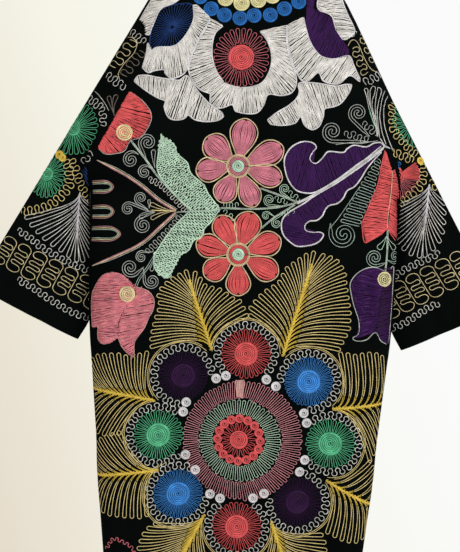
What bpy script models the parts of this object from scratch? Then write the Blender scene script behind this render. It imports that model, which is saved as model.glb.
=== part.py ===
"""A long embroidered robe, hung on a plain wooden hanger.

Metres, +Z up. The robe's back faces -Y and its open front faces +Y. The origin is where the hook rests.
The robe is a flattened hollow form. Its outline, depth and folds are worked out from the tables below, and
each piece of the cut is a wall of its own over that form, a seam's gap from the next piece.
"""

import math

import bmesh
import bpy
import numpy as np

OBJECT_NAME = "suzani_robe"

# Cloth
WALL = 0.002
SEAM_GAP = 0.0003

# Neck, shoulder and armhole, half of the robe. Each row is x from the centre, and z.
NECK_HALF = 0.089
NECK_Z = -0.100
BACK_NECK_Z = -0.146
FRONT_NECK_Z = -0.245
NECK_ROUNDNESS = 2.4
FRONT_NECK_ROUNDNESS = 1.5
SHOULDER = ((0.089, -0.100), (0.130, -0.1185), (0.165, -0.138), (0.182, -0.166), (0.207, -0.212))
ARMHOLE = (
    (0.207, -0.212),
    (0.191, -0.232),
    (0.188, -0.252),
    (0.194, -0.275),
    (0.207, -0.303),
    (0.228, -0.347),
    (0.249, -0.402),
    (0.268, -0.440),
    (0.281, -0.468),
    (0.2872, -0.492),
    (0.2898, -0.514),
    (0.2905, -0.535),
)
RIDGE_AT_CENTRE = (0.0, -0.059)

# The body below the arms. Each row is z, half the width, and how far the front edge is from the centre.
SIDE = (
    (-0.535, 0.2905, 0.008),
    (-0.600, 0.2905, 0.008),
    (-0.710, 0.2888, 0.009),
    (-0.790, 0.285, 0.010),
    (-0.862, 0.2782, 0.011),
    (-0.987, 0.266, 0.014),
    (-1.071, 0.2603, 0.016),
    (-1.141, 0.2527, 0.018),
    (-1.2115, 0.2451, 0.019),
    (-1.352, 0.2299, 0.020),
)
HEM_Z = -1.352
BELOW_HEM_Z = -1.500

# How far the cloth stands from the middle plane. Each row is z, the back, and the front.
DEPTH = (
    (-0.050, 0.024, 0.022),
    (-0.200, 0.036, 0.028),
    (-0.300, 0.044, 0.032),
    (-0.480, 0.046, 0.032),
    (-0.800, 0.042, 0.030),
    (-1.100, 0.036, 0.027),
    (-1.500, 0.033, 0.026),
)
SHOULDER_ROUND = 0.045
SIDE_ROUND = 0.070
SIDE_SET_BACK = 0.006
SIDE_SET_FADE = 0.150

# The largest folds. Each row is the top x, z and the bottom x, z of the fold's line, its half width, and
# how far it stands out, less than nothing for a trough.
BACK_FOLDS = (
    (0.135, -0.175, 0.192, -0.275, 0.016, 0.006),
    (-0.140, -0.190, -0.185, -0.350, 0.020, 0.005),
    (0.258, -0.600, 0.256, -0.860, 0.018, 0.006),
    (0.170, -0.560, 0.150, -1.300, 0.040, -0.006),
    (0.060, -0.820, 0.075, -1.350, 0.038, 0.007),
    (-0.070, -0.700, -0.082, -1.350, 0.040, -0.006),
    (-0.165, -0.520, -0.150, -1.340, 0.040, 0.007),
)
FRONT_FOLDS = (
    (0.130, -0.180, 0.120, -0.520, 0.024, 0.005),
    (-0.138, -0.185, -0.128, -0.480, 0.022, 0.005),
    (0.100, -0.620, 0.085, -1.350, 0.036, 0.006),
    (-0.120, -0.540, -0.110, -1.350, 0.038, 0.006),
    (0.195, -0.700, 0.180, -1.330, 0.034, -0.005),
    (-0.190, -0.800, -0.175, -1.330, 0.034, -0.004),
)
FOLD_FADE = 0.22
# Folds that run down a sleeve. Each row is the face, the share of the width where the fold lies, its half
# width in shares, where it starts and ends on the way to the cuff, and how far it stands out.
SLEEVE_FOLDS = (
    (-1, 0.30, 0.09, 0.10, 0.85, 0.004),
    (-1, 0.62, 0.10, 0.20, 1.00, -0.005),
    (1, 0.40, 0.10, 0.15, 0.90, 0.005),
    (1, 0.72, 0.09, 0.25, 1.00, -0.004),
)

# The sleeve hangs from the armhole. Its outer fold is straight. Its inner fold turns round the armpit and
# slips behind the body's side. Each row of the inner fold is x, y and z, and each row of the depth is the
# share of the way to the cuff, and half of the sleeve's depth.
CUFF_OUTER = (0.496, -0.727)
SLEEVE_INNER = (
    (0.2905, 0.000, -0.535),
    (0.2932, 0.003, -0.541),
    (0.2945, 0.009, -0.556),
    (0.2925, 0.018, -0.590),
    (0.2865, 0.024, -0.635),
    (0.2810, 0.026, -0.690),
    (0.2810, 0.024, -0.740),
    (0.2905, 0.020, -0.782),
    (0.3097, 0.015, -0.818),
)
SLEEVE_DEPTH = ((0.0, 0.038), (0.2, 0.034), (0.4, 0.028), (0.7, 0.022), (1.0, 0.019))
# The rings fan out about the armpit, so the inner fold sets off slowly.
INNER_START = 0.12
INNER_EASE = 2.2
SLEEVE_FULLNESS = 2.2
SLEEVE_SETTLES = 0.45
# The cloth first stands away from the armhole seam by this much, most at this share of the way to the cuff.
SLEEVE_SPREAD = 0.006
SPREAD_AT = 0.12

# How finely the walls are divided
ARMHOLE_ROWS = 12
BODY_ROWS = 14
NECK_SHARES = (0, 0.20, 0.40, 0.58, 0.74, 0.87, 0.95, 0.985, 1.0)
COLUMN_SHARES = (0.12, 0.27, 0.42, 0.57, 0.70, 0.80, 0.88, 0.94, 0.98, 1.0)
SLEEVE_STATIONS = (0, 0.03, 0.07, 0.12, 0.18, 0.26, 0.35, 0.45, 0.56, 0.67, 0.78, 0.89, 1.0)

# Hanger
ARM_HALF_THICKNESS = 0.006
ARM_HALF_HEIGHT = 0.011
ARM_BELOW_CLOTH = 0.0016
ARM_REACH = 0.146
WIRE_RADIUS = 0.00175
HOOK_INNER_RADIUS = 0.0165
HOOK_OPENS_AT = math.radians(205)
HOOK_JOINS_AT = math.radians(-52)
STEM_TOP_Z = -0.043
BEND_REACH = 0.020

CLOTH_COLOUR = (0.012, 0.011, 0.013, 1.0)
WOOD_COLOUR = (0.42, 0.24, 0.11, 1.0)
WIRE_COLOUR = (0.62, 0.62, 0.60, 1.0)


def along(keys, values, at):
    """Values at `at` on a smooth line through rows of values at rising keys."""
    keys = np.asarray(keys, float)
    values = np.asarray(values, float).reshape(len(keys), -1)
    slopes = np.gradient(values, keys, axis=0)
    at = np.clip(np.asarray(at, float), keys[0], keys[-1])
    row = np.clip(np.searchsorted(keys, at, side="right") - 1, 0, len(keys) - 2)
    step = (keys[row + 1] - keys[row])[..., None]
    t = (at - keys[row])[..., None] / step
    first = (1 + 2 * t) * (1 - t) ** 2 * values[row] + t * (1 - t) ** 2 * step * slopes[row]
    last = t * t * (3 - 2 * t) * values[row + 1] - t * t * (1 - t) * step * slopes[row + 1]
    return first + last


def by_height(table, z):
    """The other columns of a table whose first column is z, from the top down."""
    table = np.array(table, float)
    return along(-table[:, 0], table[:, 1:], -np.asarray(z, float))


def by_length(points, share):
    """Points at shares of the length of a smooth line through the points given."""
    points = np.array(points, float)
    steps = np.linalg.norm(np.diff(points, axis=0), axis=1)
    reached = np.concatenate([[0], np.cumsum(steps)])
    return along(reached / reached[-1], points, share)


def smooth_step(t):
    t = np.clip(t, 0, 1)
    return t * t * (3 - 2 * t)


def distance_to(line, x, z):
    """How far points (x, z) are from a line of straight stretches."""
    line = np.array(line, float)
    points = np.stack([x, z], axis=-1)[..., None, :]
    start = line[:-1]
    run = line[1:] - line[:-1]
    t = np.clip(((points - start) * run).sum(-1) / (run * run).sum(-1), 0, 1)
    return np.linalg.norm(points - start - t[..., None] * run, axis=-1).min(-1)


def rounded(distance, radius):
    """From 0 at an edge to 1 at the radius from it, along a quarter of a circle."""
    t = np.clip(distance / radius, 0, 1)
    return np.sqrt(np.maximum(1 - (1 - t) ** 2, 0))


def top_line():
    """The ridge from the centre over the shoulder and on down the sleeve's outer fold."""
    return (RIDGE_AT_CENTRE, *SHOULDER, CUFF_OUTER)


def side_line():
    """The fold from the armpit down the side, and on past the hem."""
    rows = [(half, z) for z, half, _ in SIDE]
    return (*rows, (rows[-1][0], BELOW_HEM_Z))


def half_width(z):
    return by_height(SIDE, z)[..., 0]


def middle(x, z):
    """The y of the side fold, which the cloth of both faces shares."""
    below = smooth_step((SIDE[0][0] - z) / SIDE_SET_FADE)
    return -SIDE_SET_BACK * below * np.clip(np.abs(x) / half_width(z), 0, 1) ** 2


def fold_height(folds, x, z):
    """How far folds lift the cloth, each fading at its two ends."""
    lift = np.zeros_like(x)
    for top_x, top_z, low_x, low_z, width, depth in folds:
        run_x = low_x - top_x
        run_z = low_z - top_z
        length = math.hypot(run_x, run_z)
        share = ((x - top_x) * run_x + (z - top_z) * run_z) / length**2
        aside = ((x - top_x) * run_z - (z - top_z) * run_x) / length
        fade = smooth_step(share / FOLD_FADE) * smooth_step((1 + FOLD_FADE - share) / FOLD_FADE)
        lift = lift + depth * fade * np.exp(-((aside / width) ** 2))
    return lift


def body_y(x, z, face):
    """The y of the cloth's outer face, on the back (face -1) or the front (face 1)."""
    edge = rounded(distance_to(top_line(), np.abs(x), z), SHOULDER_ROUND)
    edge = edge * rounded(distance_to(side_line(), np.abs(x), z), SIDE_ROUND)
    depth = by_height(DEPTH, z)[..., 0 if face < 0 else 1]
    folds = fold_height(BACK_FOLDS if face < 0 else FRONT_FOLDS, x, z)
    return middle(x, z) + face * (depth + folds) * edge


def sleeve_fold_height(face, across, share):
    """How far a sleeve's folds lift its cloth, at shares of its width and length."""
    lift = np.zeros_like(across)
    for on_face, at, width, start, end, depth in SLEEVE_FOLDS:
        t = (share - start) / (end - start)
        fade = smooth_step(t / FOLD_FADE) * smooth_step((1 + FOLD_FADE - t) / FOLD_FADE)
        lift = lift + depth * fade * (face == on_face) * np.exp(-(((across - at) / width) ** 2))
    return lift


def armhole_shares():
    """Shares of the armhole's length, closer together towards both folds."""
    turn = np.linspace(0, math.pi, ARMHOLE_ROWS + 1)
    return (1 - np.cos(turn)) / 2


def front_edge(z):
    """How far the front's edge is from the centre."""
    return by_height(SIDE, z)[..., 1]


def row_ends():
    """The x and z of each row's end, down the armhole and then down the side."""
    armhole = by_length(ARMHOLE, armhole_shares())
    armpit_z = ARMHOLE[-1][1]
    z = np.linspace(armpit_z, HEM_Z, BODY_ROWS + 1)[1:]
    side = np.stack([half_width(z), z], axis=-1)
    return np.concatenate([armhole, side])


def panel_rows(face):
    """The x and z of a half panel's points, a row for each height, from the centre to the side.

    A row lies level at the armpit and below it, and follows the neck and shoulder at the top.
    """
    ends = row_ends()
    inner = 0.0 if face < 0 else SIDE[0][2]
    neck_share = (NECK_HALF - inner) / (SHOULDER[-1][0] - inner)
    neck_columns = neck_share * np.array(NECK_SHARES)
    shoulder_columns = neck_share + (1 - neck_share) * np.array(COLUMN_SHARES)
    share = np.concatenate([neck_columns, shoulder_columns])
    top_x = inner + (SHOULDER[-1][0] - inner) * share
    neck = np.clip((top_x - inner) / (NECK_HALF - inner), 0, 1)
    low = BACK_NECK_Z if face < 0 else FRONT_NECK_Z
    roundness = NECK_ROUNDNESS if face < 0 else FRONT_NECK_ROUNDNESS
    neck_z = low + (NECK_Z - low) * neck**roundness
    shoulder = np.array(SHOULDER)
    shoulder_z = along(shoulder[:, 0], shoulder[:, 1:], top_x)[..., 0]
    top_z = np.where(top_x < NECK_HALF, neck_z, shoulder_z)
    armhole = np.concatenate([armhole_shares(), np.ones(BODY_ROWS)])
    rise = (top_z - SHOULDER[-1][1])[None, :] * ((1 - armhole) ** 2)[:, None]
    z = ends[:, 1][:, None] + rise
    edge = np.full_like(z, 0.0) if face < 0 else front_edge(z)
    x = edge + (ends[:, 0][:, None] - edge) * share[None, :]
    return x, z


def unit(v):
    return v / np.maximum(np.linalg.norm(v, axis=-1, keepdims=True), 1e-12)


def half_panel(face, side):
    """The outer points and outward directions of a half panel, columns from the centre to the side."""
    x, z = panel_rows(face)
    neck_column = len(NECK_SHARES) - 1
    x = x * side
    points = np.stack([x, body_y(x, z, face), z], axis=-1)
    down = np.gradient(points, axis=0)
    across = np.gradient(points, axis=1)
    # On a fold that two faces share, the form turns straight over from one face to the other.
    turn_over = np.array([0.0, face, 0.0])
    across[ARMHOLE_ROWS:, -1] = -turn_over
    down[0, neck_column:] = turn_over
    outward = unit(np.cross(across, down))
    outward = outward * np.sign(outward[..., 1].sum()) * face
    outward[0, -1] = unit(np.array([side * 0.86, 0.0, 0.51]))
    points[0, neck_column:, 1] = face * SEAM_GAP / 2
    points[ARMHOLE_ROWS:, -1, 1] += face * SEAM_GAP / 2
    return points, outward


def wall(name, outer, outward, closed, material):
    """A wall over rows of outer points. Its inner face lies a cloth's thickness inside them.

    The rows are open strips, or rings where `closed` is true.
    """
    rows, columns = outer.shape[:2]
    inner = outer - WALL * outward
    mesh = bmesh.new()
    faces = [[[mesh.verts.new(p) for p in row] for row in layer] for layer in (outer, inner)]
    last = columns if closed else columns - 1
    for layer in faces:
        for i in range(rows - 1):
            for j in range(last):
                k = (j + 1) % columns
                mesh.faces.new((layer[i][j], layer[i][k], layer[i + 1][k], layer[i + 1][j]))
    out, into = faces
    for i in (0, rows - 1):
        for j in range(last):
            k = (j + 1) % columns
            mesh.faces.new((out[i][j], out[i][k], into[i][k], into[i][j]))
    if not closed:
        for j in (0, columns - 1):
            for i in range(rows - 1):
                mesh.faces.new((out[i][j], out[i + 1][j], into[i + 1][j], into[i][j]))
    bmesh.ops.recalc_face_normals(mesh, faces=mesh.faces)
    data = bpy.data.meshes.new(name)
    mesh.to_mesh(data)
    mesh.free()
    data.shade_smooth()
    data.set_sharp_from_angle(angle=math.radians(50))
    return add(name, data, material)


def add(name, data, material):
    """Puts an object of this mesh or curve in the robe's collection, with its material."""
    data.materials.append(material)
    piece = bpy.data.objects.new(name, data)
    bpy.data.collections[OBJECT_NAME].objects.link(piece)
    return piece


def back_panel(cloth):
    """One panel, both halves from the centre out."""
    left, left_out = half_panel(-1, -1)
    right, right_out = half_panel(-1, 1)
    outer = np.concatenate([left[:, :0:-1], right], axis=1)
    outward = np.concatenate([left_out[:, :0:-1], right_out], axis=1)
    wall("back_panel", outer, outward, False, cloth)


def front_panel(name, side, cloth):
    outer, outward = half_panel(1, side)
    wall(name, outer, outward, False, cloth)


def armhole_ring(side):
    """The sleeve's first ring: down the back of the armhole from the shoulder, and up its front.

    It lies a seam's gap from the body's edge, and its wall points the same way.
    """
    back, back_out = half_panel(-1, side)
    front, front_out = half_panel(1, side)
    edge = slice(1, ARMHOLE_ROWS)
    top = back[0, -1] * (1, 0, 1)
    armpit = np.array([side * ARMHOLE[-1][0], 0.0, ARMHOLE[-1][1]])
    points = np.concatenate([[top], back[edge, -1], [armpit], front[edge, -1][::-1]])
    under = unit(np.array([-side * 0.5, 0.0, -0.87]))
    outward = np.concatenate(
        [[back_out[0, -1]], back_out[edge, -1], [under], front_out[edge, -1][::-1]]
    )
    run = np.roll(points, -1, axis=0) - np.roll(points, 1, axis=0)
    away = unit(np.cross(outward, run))
    away = away * np.where((away[:, :1] * side) < 0, -1, 1)
    away[ARMHOLE_ROWS] = unit(np.array([side * 0.7, 0.0, 0.7]))
    return points + SEAM_GAP * away, outward, away


def sleeve_across():
    """The share of the sleeve's width at each point of a ring, from the outer fold and back to it."""
    down = armhole_shares()
    return np.concatenate([down, down[-2:0:-1]])


def sleeve(name, side, cloth):
    """A tube from the armhole to the cuff, flattened, with its inner fold behind the body's side."""
    ring, ring_out, away = armhole_ring(side)
    q = sleeve_across()
    face = np.where(np.arange(len(q)) < ARMHOLE_ROWS, -1, 1)
    face[[0, ARMHOLE_ROWS]] = 0
    depths = np.array(SLEEVE_DEPTH)
    top = np.array([ARMHOLE[0][0], 0.0, ARMHOLE[0][1]])
    cuff = np.array([CUFF_OUTER[0], 0.0, CUFF_OUTER[1]])
    swell = np.maximum(1 - np.abs(2 * q - 1) ** SLEEVE_FULLNESS, 0) ** (1 / SLEEVE_FULLNESS)
    rings = [ring]
    armpit = np.array([ARMHOLE[-1][0], 0.0, ARMHOLE[-1][1]])
    bow = ring * (side, 1, 1) - (top + (armpit - top) * q[:, None])
    for share in SLEEVE_STATIONS[1:]:
        depth = along(depths[:, 0], depths[:, 1], share)[0]
        inner_share = INNER_START * share + (1 - INNER_START) * share**INNER_EASE
        outer_fold = top + (cuff - top) * share
        inner_fold = by_length(SLEEVE_INNER, inner_share)
        chord = outer_fold + (inner_fold - outer_fold) * q[:, None]
        settled = smooth_step(share / SLEEVE_SETTLES)
        offset = np.zeros_like(chord)
        offset[:, 1] = face * swell * (depth + sleeve_fold_height(face, q, share))
        offset = bow * (1 - settled) + offset * settled
        spread = SLEEVE_SPREAD * share / SPREAD_AT * math.exp(1 - share / SPREAD_AT)
        offset = offset + spread * (away * (side, 1, 1)) * (1 - q[:, None] ** 6)
        rings.append((chord + offset) * (side, 1, 1))
    points = np.array(rings)
    down = np.gradient(points, axis=0)
    around = (np.roll(points, -1, axis=1) - np.roll(points, 1, axis=1)) / 2
    outward = unit(np.cross(around, down)) * side
    outward[0] = ring_out
    wall(name, points, outward, True, cloth)


def hanger_arms(wood):
    """A bent bar with rounded edges, just under the ridge of both shoulders."""
    drop = WALL + ARM_BELOW_CLOTH + ARM_HALF_HEIGHT
    ridge = np.array((RIDGE_AT_CENTRE, *SHOULDER[:3]))
    x = np.linspace(0, ARM_REACH, 14)
    z = along(ridge[:, 0], ridge[:, 1:], x)[:, 0]
    slope = np.gradient(z, x)
    z_mid = z - drop * np.sqrt(1 + slope**2)
    z_mid[0] = z_mid[1]
    half = list(zip(x, z_mid))
    route = [(-a, b) for a, b in half[:0:-1]] + half
    section = bpy.data.curves.new("arm_section", "CURVE")
    outline = section.splines.new("POLY")
    corners = []
    for turn in np.linspace(0, -2 * math.pi, 20, endpoint=False):
        straight = (ARM_HALF_HEIGHT - ARM_HALF_THICKNESS) * (1 if math.sin(turn) >= 0 else -1)
        corners.append((ARM_HALF_THICKNESS * math.cos(turn), straight + ARM_HALF_THICKNESS * math.sin(turn)))
    outline.points.add(len(corners) - 1)
    for point, (a, b) in zip(outline.points, corners):
        point.co = (a, b, 0, 1)
    outline.use_cyclic_u = True
    profile = bpy.data.objects.new("arm_section", section)
    profile.hide_render = True
    profile.display_type = "WIRE"
    bpy.data.collections["guides"].objects.link(profile)
    bar = poly_curve("hanger_arms", [(a, 0, b) for a, b in route], wood)
    bar.data.bevel_mode = "OBJECT"
    bar.data.bevel_object = profile
    return z_mid[0] + ARM_HALF_HEIGHT


def poly_curve(name, route, material):
    curve = bpy.data.curves.new(name, "CURVE")
    curve.dimensions = "3D"
    curve.twist_mode = "Z_UP"
    curve.use_fill_caps = True
    line = curve.splines.new("POLY")
    line.points.add(len(route) - 1)
    for point, place in zip(line.points, route):
        point.co = (*place, 1)
    line.use_smooth = True
    return add(name, curve, material)


def hanger_hook(bar_top, steel):
    """A wire that rises from the bar, bends aside and turns over the place where it rests."""
    radius = HOOK_INNER_RADIUS + WIRE_RADIUS
    centre_z = -HOOK_INNER_RADIUS
    join = np.array([radius * math.cos(HOOK_JOINS_AT), centre_z + radius * math.sin(HOOK_JOINS_AT)])
    heading = np.array([-math.sin(HOOK_JOINS_AT), math.cos(HOOK_JOINS_AT)])
    start = np.array([0.0, STEM_TOP_Z])
    up = np.array([0.0, 1.0])
    route = [(0.0, bar_top + SEAM_GAP)]
    for t in np.linspace(0, 1, 8)[:-1]:
        leaving = (1 + 2 * t) * (1 - t) ** 2 * start + t * (1 - t) ** 2 * BEND_REACH * up
        arriving = t * t * (3 - 2 * t) * join - t * t * (1 - t) * BEND_REACH * heading
        route.append(tuple(leaving + arriving))
    for turn in np.linspace(HOOK_JOINS_AT, HOOK_OPENS_AT, 24):
        route.append((radius * math.cos(turn), centre_z + radius * math.sin(turn)))
    hook = poly_curve("hanger_hook", [(a, 0, b) for a, b in route], steel)
    hook.data.bevel_depth = WIRE_RADIUS
    hook.data.bevel_resolution = 2


def surface(name, colour, roughness, metallic):
    """A material of one colour."""
    material = bpy.data.materials.new(name)
    material.use_nodes = True
    shader = material.node_tree.nodes["Principled BSDF"]
    shader.inputs["Base Color"].default_value = colour
    shader.inputs["Roughness"].default_value = roughness
    shader.inputs["Metallic"].default_value = metallic
    material.diffuse_color = colour
    return material


def main():
    for old in list(bpy.data.objects):
        bpy.data.objects.remove(old)
    for name in (OBJECT_NAME, "guides"):
        bpy.context.scene.collection.children.link(bpy.data.collections.new(name))
    cloth = surface("black_cloth", CLOTH_COLOUR, 0.85, 0.0)
    wood = surface("wood", WOOD_COLOUR, 0.45, 0.0)
    steel = surface("steel_wire", WIRE_COLOUR, 0.30, 1.0)
    back_panel(cloth)
    front_panel("front_left", -1, cloth)
    front_panel("front_right", 1, cloth)
    sleeve("sleeve_left", -1, cloth)
    sleeve("sleeve_right", 1, cloth)
    bar_top = hanger_arms(wood)
    hanger_hook(bar_top, steel)


main()
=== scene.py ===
"""The looks of a long black robe worked all over with chain-stitched silk, hung on a wooden hanger.

The cloth pieces are thin walls on nearly the frame's form, with finer creases. The embroidery is thread:
every motif is first a line in the plane of the cloth, in millimetres, and is then laid over the cloth.
"""

import math

import bpy
import numpy as np
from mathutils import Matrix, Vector
from mathutils.bvhtree import BVHTree

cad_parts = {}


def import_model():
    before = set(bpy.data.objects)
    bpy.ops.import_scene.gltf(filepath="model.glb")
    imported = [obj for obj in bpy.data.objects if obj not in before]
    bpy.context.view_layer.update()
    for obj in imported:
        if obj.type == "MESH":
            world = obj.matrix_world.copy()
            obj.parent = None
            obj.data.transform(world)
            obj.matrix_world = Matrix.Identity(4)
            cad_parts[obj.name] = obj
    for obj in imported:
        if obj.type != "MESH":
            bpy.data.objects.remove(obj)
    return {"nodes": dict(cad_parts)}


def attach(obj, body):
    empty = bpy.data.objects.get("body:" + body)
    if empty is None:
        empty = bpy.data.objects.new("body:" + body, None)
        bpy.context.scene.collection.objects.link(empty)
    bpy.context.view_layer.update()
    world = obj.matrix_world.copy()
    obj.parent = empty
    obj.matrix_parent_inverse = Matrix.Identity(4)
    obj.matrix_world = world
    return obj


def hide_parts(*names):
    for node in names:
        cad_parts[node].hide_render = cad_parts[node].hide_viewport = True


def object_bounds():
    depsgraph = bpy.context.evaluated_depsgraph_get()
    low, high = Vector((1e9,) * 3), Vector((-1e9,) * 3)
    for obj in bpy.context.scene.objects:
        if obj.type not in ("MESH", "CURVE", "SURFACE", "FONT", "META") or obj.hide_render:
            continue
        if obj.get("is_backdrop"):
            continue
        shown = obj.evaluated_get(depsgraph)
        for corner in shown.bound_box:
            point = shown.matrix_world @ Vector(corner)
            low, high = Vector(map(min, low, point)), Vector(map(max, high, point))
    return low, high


MM = 0.001
chance = np.random.default_rng(11)

# The form of the robe, in metres: nearly the frame's. The sleeves' inner fold lies up to 3 mm nearer the
# body, and the folds wander a little.
WALL = 0.002
SEAM_GAP = 0.0003
NECK_HALF = 0.089
NECK_Z = -0.100
BACK_NECK_Z = -0.146
FRONT_NECK_Z = -0.245
NECK_ROUNDNESS = 2.4
FRONT_NECK_ROUNDNESS = 1.5
SHOULDER = ((0.089, -0.1), (0.13, -0.1185), (0.165, -0.138), (0.182, -0.166), (0.207, -0.212))
ARMHOLE = (
    (0.207, -0.212), (0.191, -0.232), (0.188, -0.252), (0.194, -0.275), (0.207, -0.303), (0.228, -0.347),
    (0.249, -0.402), (0.268, -0.44), (0.281, -0.468), (0.2872, -0.492), (0.2898, -0.514), (0.2905, -0.535),
)
RIDGE_AT_CENTRE = (0.0, -0.059)
CUFF_OUTER = (0.496, -0.727)
TOP_EDGE = (RIDGE_AT_CENTRE, *SHOULDER, CUFF_OUTER)
# z, half the width, and how far the front edge is from the centre
SIDE = (
    (-0.535, 0.2905, 0.008), (-0.6, 0.2905, 0.008), (-0.71, 0.2888, 0.009), (-0.79, 0.285, 0.01),
    (-0.862, 0.2782, 0.011), (-0.987, 0.266, 0.014), (-1.071, 0.2603, 0.016), (-1.141, 0.2527, 0.018),
    (-1.2115, 0.2451, 0.019), (-1.352, 0.2299, 0.02),
)
HEM_Z = -1.352
BELOW_HEM_Z = -1.500
# z, and how far the back and the front stand from the middle plane
DEPTH = (
    (-0.05, 0.024, 0.022), (-0.2, 0.036, 0.028), (-0.3, 0.044, 0.032), (-0.48, 0.046, 0.032),
    (-0.8, 0.042, 0.03), (-1.1, 0.036, 0.027), (-1.5, 0.033, 0.026),
)
SHOULDER_ROUND = 0.045
SIDE_ROUND = 0.070
SIDE_SET_BACK = 0.006
SIDE_SET_FADE = 0.150
# Folds and finer creases, in millimetres: the top x and z and the bottom x and z of the line, the half width,
# and how far it stands out.
BACK_FOLDS = (
    (135, -175, 192, -275, 16, 6), (-140, -190, -185, -350, 20, 5), (258, -600, 256, -860, 18, 6),
    (170, -560, 150, -1300, 40, -6), (60, -820, 75, -1350, 38, 7), (-70, -700, -82, -1350, 40, -6),
    (-165, -520, -150, -1340, 40, 7),
)
FRONT_FOLDS = (
    (130, -180, 120, -520, 24, 5), (-138, -185, -128, -480, 22, 5), (100, -620, 85, -1350, 36, 6),
    (-120, -540, -110, -1350, 38, 6), (195, -700, 180, -1330, 34, -5), (-190, -800, -175, -1330, 34, -4),
)
BACK_CREASES = (
    (204, -400, 240, -560, 10, -3), (236, -610, 234, -840, 9, -3.4), (150, -190, 205, -330, 9, -2.4),
    (-196, -330, -232, -520, 11, -3), (-230, -560, -246, -830, 10, 2.2), (-110, -160, -150, -300, 10, 1.8),
    (20, -600, 34, -980, 13, 1.6), (-122, -830, -116, -1180, 12, -2), (108, -900, 122, -1350, 12, 2.2),
    (205, -950, 196, -1352, 11, 2.2), (-205, -1020, -196, -1352, 11, -2), (-22, -1100, -18, -1352, 13, 2.4),
    (-258, -700, -236, -1100, 10, 1.8),
)
FRONT_CREASES = (
    (208, -380, 236, -560, 11, -2.6), (-200, -350, -234, -540, 12, -2.8), (60, -300, 52, -760, 13, 2),
    (-70, -330, -48, -820, 12, 1.8), (148, -560, 142, -1100, 12, -2.2), (-158, -600, -150, -1180, 13, 2),
    (232, -640, 216, -1240, 10, 2.2), (-238, -700, -214, -1352, 10, -2), (44, -980, 50, -1352, 12, 2.2),
    (-60, -1020, -66, -1352, 11, -2.2), (118, -150, 162, -260, 10, 2), (-112, -150, -160, -270, 10, 2),
)
FOLD_FADE = 0.22
FOLD_WANDER = 0.25
# Folds and creases down a sleeve: the face, the share of the width, the half width in shares, where it starts
# and ends on the way to the cuff, and how far it stands out.
SLEEVE_FOLDS = (
    (-1, 0.3, 0.09, 0.1, 0.85, 0.004), (-1, 0.62, 0.1, 0.2, 1.0, -0.005), (1, 0.4, 0.1, 0.15, 0.9, 0.005),
    (1, 0.72, 0.09, 0.25, 1.0, -0.004), (-1, 0.17, 0.035, 0.15, 0.7, 0.0018),
    (-1, 0.46, 0.04, 0.3, 0.95, -0.002), (-1, 0.78, 0.035, 0.1, 0.75, 0.002),
    (1, 0.22, 0.04, 0.2, 0.8, -0.002), (1, 0.56, 0.035, 0.3, 1.0, 0.0018), (1, 0.86, 0.03, 0.15, 0.8, 0.0016),
)
SLEEVE_FOLD_WANDER = 0.02
SLEEVE_INNER = (
    (0.2905, 0.0, -0.535), (0.2918, 0.003, -0.541), (0.2922, 0.009, -0.556), (0.2915, 0.018, -0.59),
    (0.2865, 0.024, -0.635), (0.281, 0.026, -0.69), (0.281, 0.024, -0.74), (0.2905, 0.02, -0.782),
    (0.3097, 0.015, -0.818),
)
SLEEVE_DEPTH = ((0.0, 0.038), (0.2, 0.034), (0.4, 0.028), (0.7, 0.022), (1.0, 0.019))
INNER_START = 0.12
INNER_EASE = 2.2
SLEEVE_FULLNESS = 2.2
SLEEVE_SETTLES = 0.45
SLEEVE_SPREAD = 0.006
SPREAD_AT = 0.12
SPREAD_FALL = 6

# How the real cloth departs from the even form: x, and how far its top edge stands out along SLEEVE_AWAY
SETTLE = ((-0.5, 0.0112), (-0.15, 0.011), (-0.06, 0.0), (0.2, 0.0), (0.28, -0.0066), (0.5, -0.0072))
SLEEVE_AWAY = (0.857, 0.515)
SETTLE_DEPTH = 0.130

# Which way the cloth faces at the shoulder's end and at the armpit, and which way is off the body there
SHOULDER_END_OUT = (0.86, 0.0, 0.51)
ARMPIT_OUT = (-0.5, 0.0, -0.87)
ARMPIT_AWAY = (0.7, 0.0, 0.7)

# How finely the cloth is divided
ARMHOLE_ROWS = 40
BODY_ROWS = 104
NECK_COLUMNS = 14
SHOULDER_COLUMNS = 30
SLEEVE_ROWS = 62
# Columns crowd towards the side, and rows under the shoulder ease out below it, by these powers.
SIDE_CROWDING = 1.5
TOP_EASE = 2


def along(keys, values, at):
    """Values at `at` on a smooth line through rows of values at rising keys."""
    keys = np.asarray(keys, float)
    values = np.asarray(values, float).reshape(len(keys), -1)
    slopes = np.gradient(values, keys, axis=0)
    at = np.clip(np.asarray(at, float), keys[0], keys[-1])
    row = np.clip(np.searchsorted(keys, at, side="right") - 1, 0, len(keys) - 2)
    step = (keys[row + 1] - keys[row])[..., None]
    t = (at - keys[row])[..., None] / step
    first = (1 + 2 * t) * (1 - t) ** 2 * values[row] + t * (1 - t) ** 2 * step * slopes[row]
    last = t * t * (3 - 2 * t) * values[row + 1] - t * t * (1 - t) * step * slopes[row + 1]
    return first + last


def by_height(table, z):
    """The other columns of a table whose first column is z, from the top down."""
    table = np.array(table, float)
    return along(-table[:, 0], table[:, 1:], -np.asarray(z, float))


def by_length(points, share):
    """Points at shares of the length of a smooth line through the points given."""
    points = np.array(points, float)
    steps = np.linalg.norm(np.diff(points, axis=0), axis=1)
    reached = np.concatenate([[0], np.cumsum(steps)])
    return along(reached / reached[-1], points, share)


def smooth_step(t):
    t = np.clip(t, 0, 1)
    return t * t * (3 - 2 * t)


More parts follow.
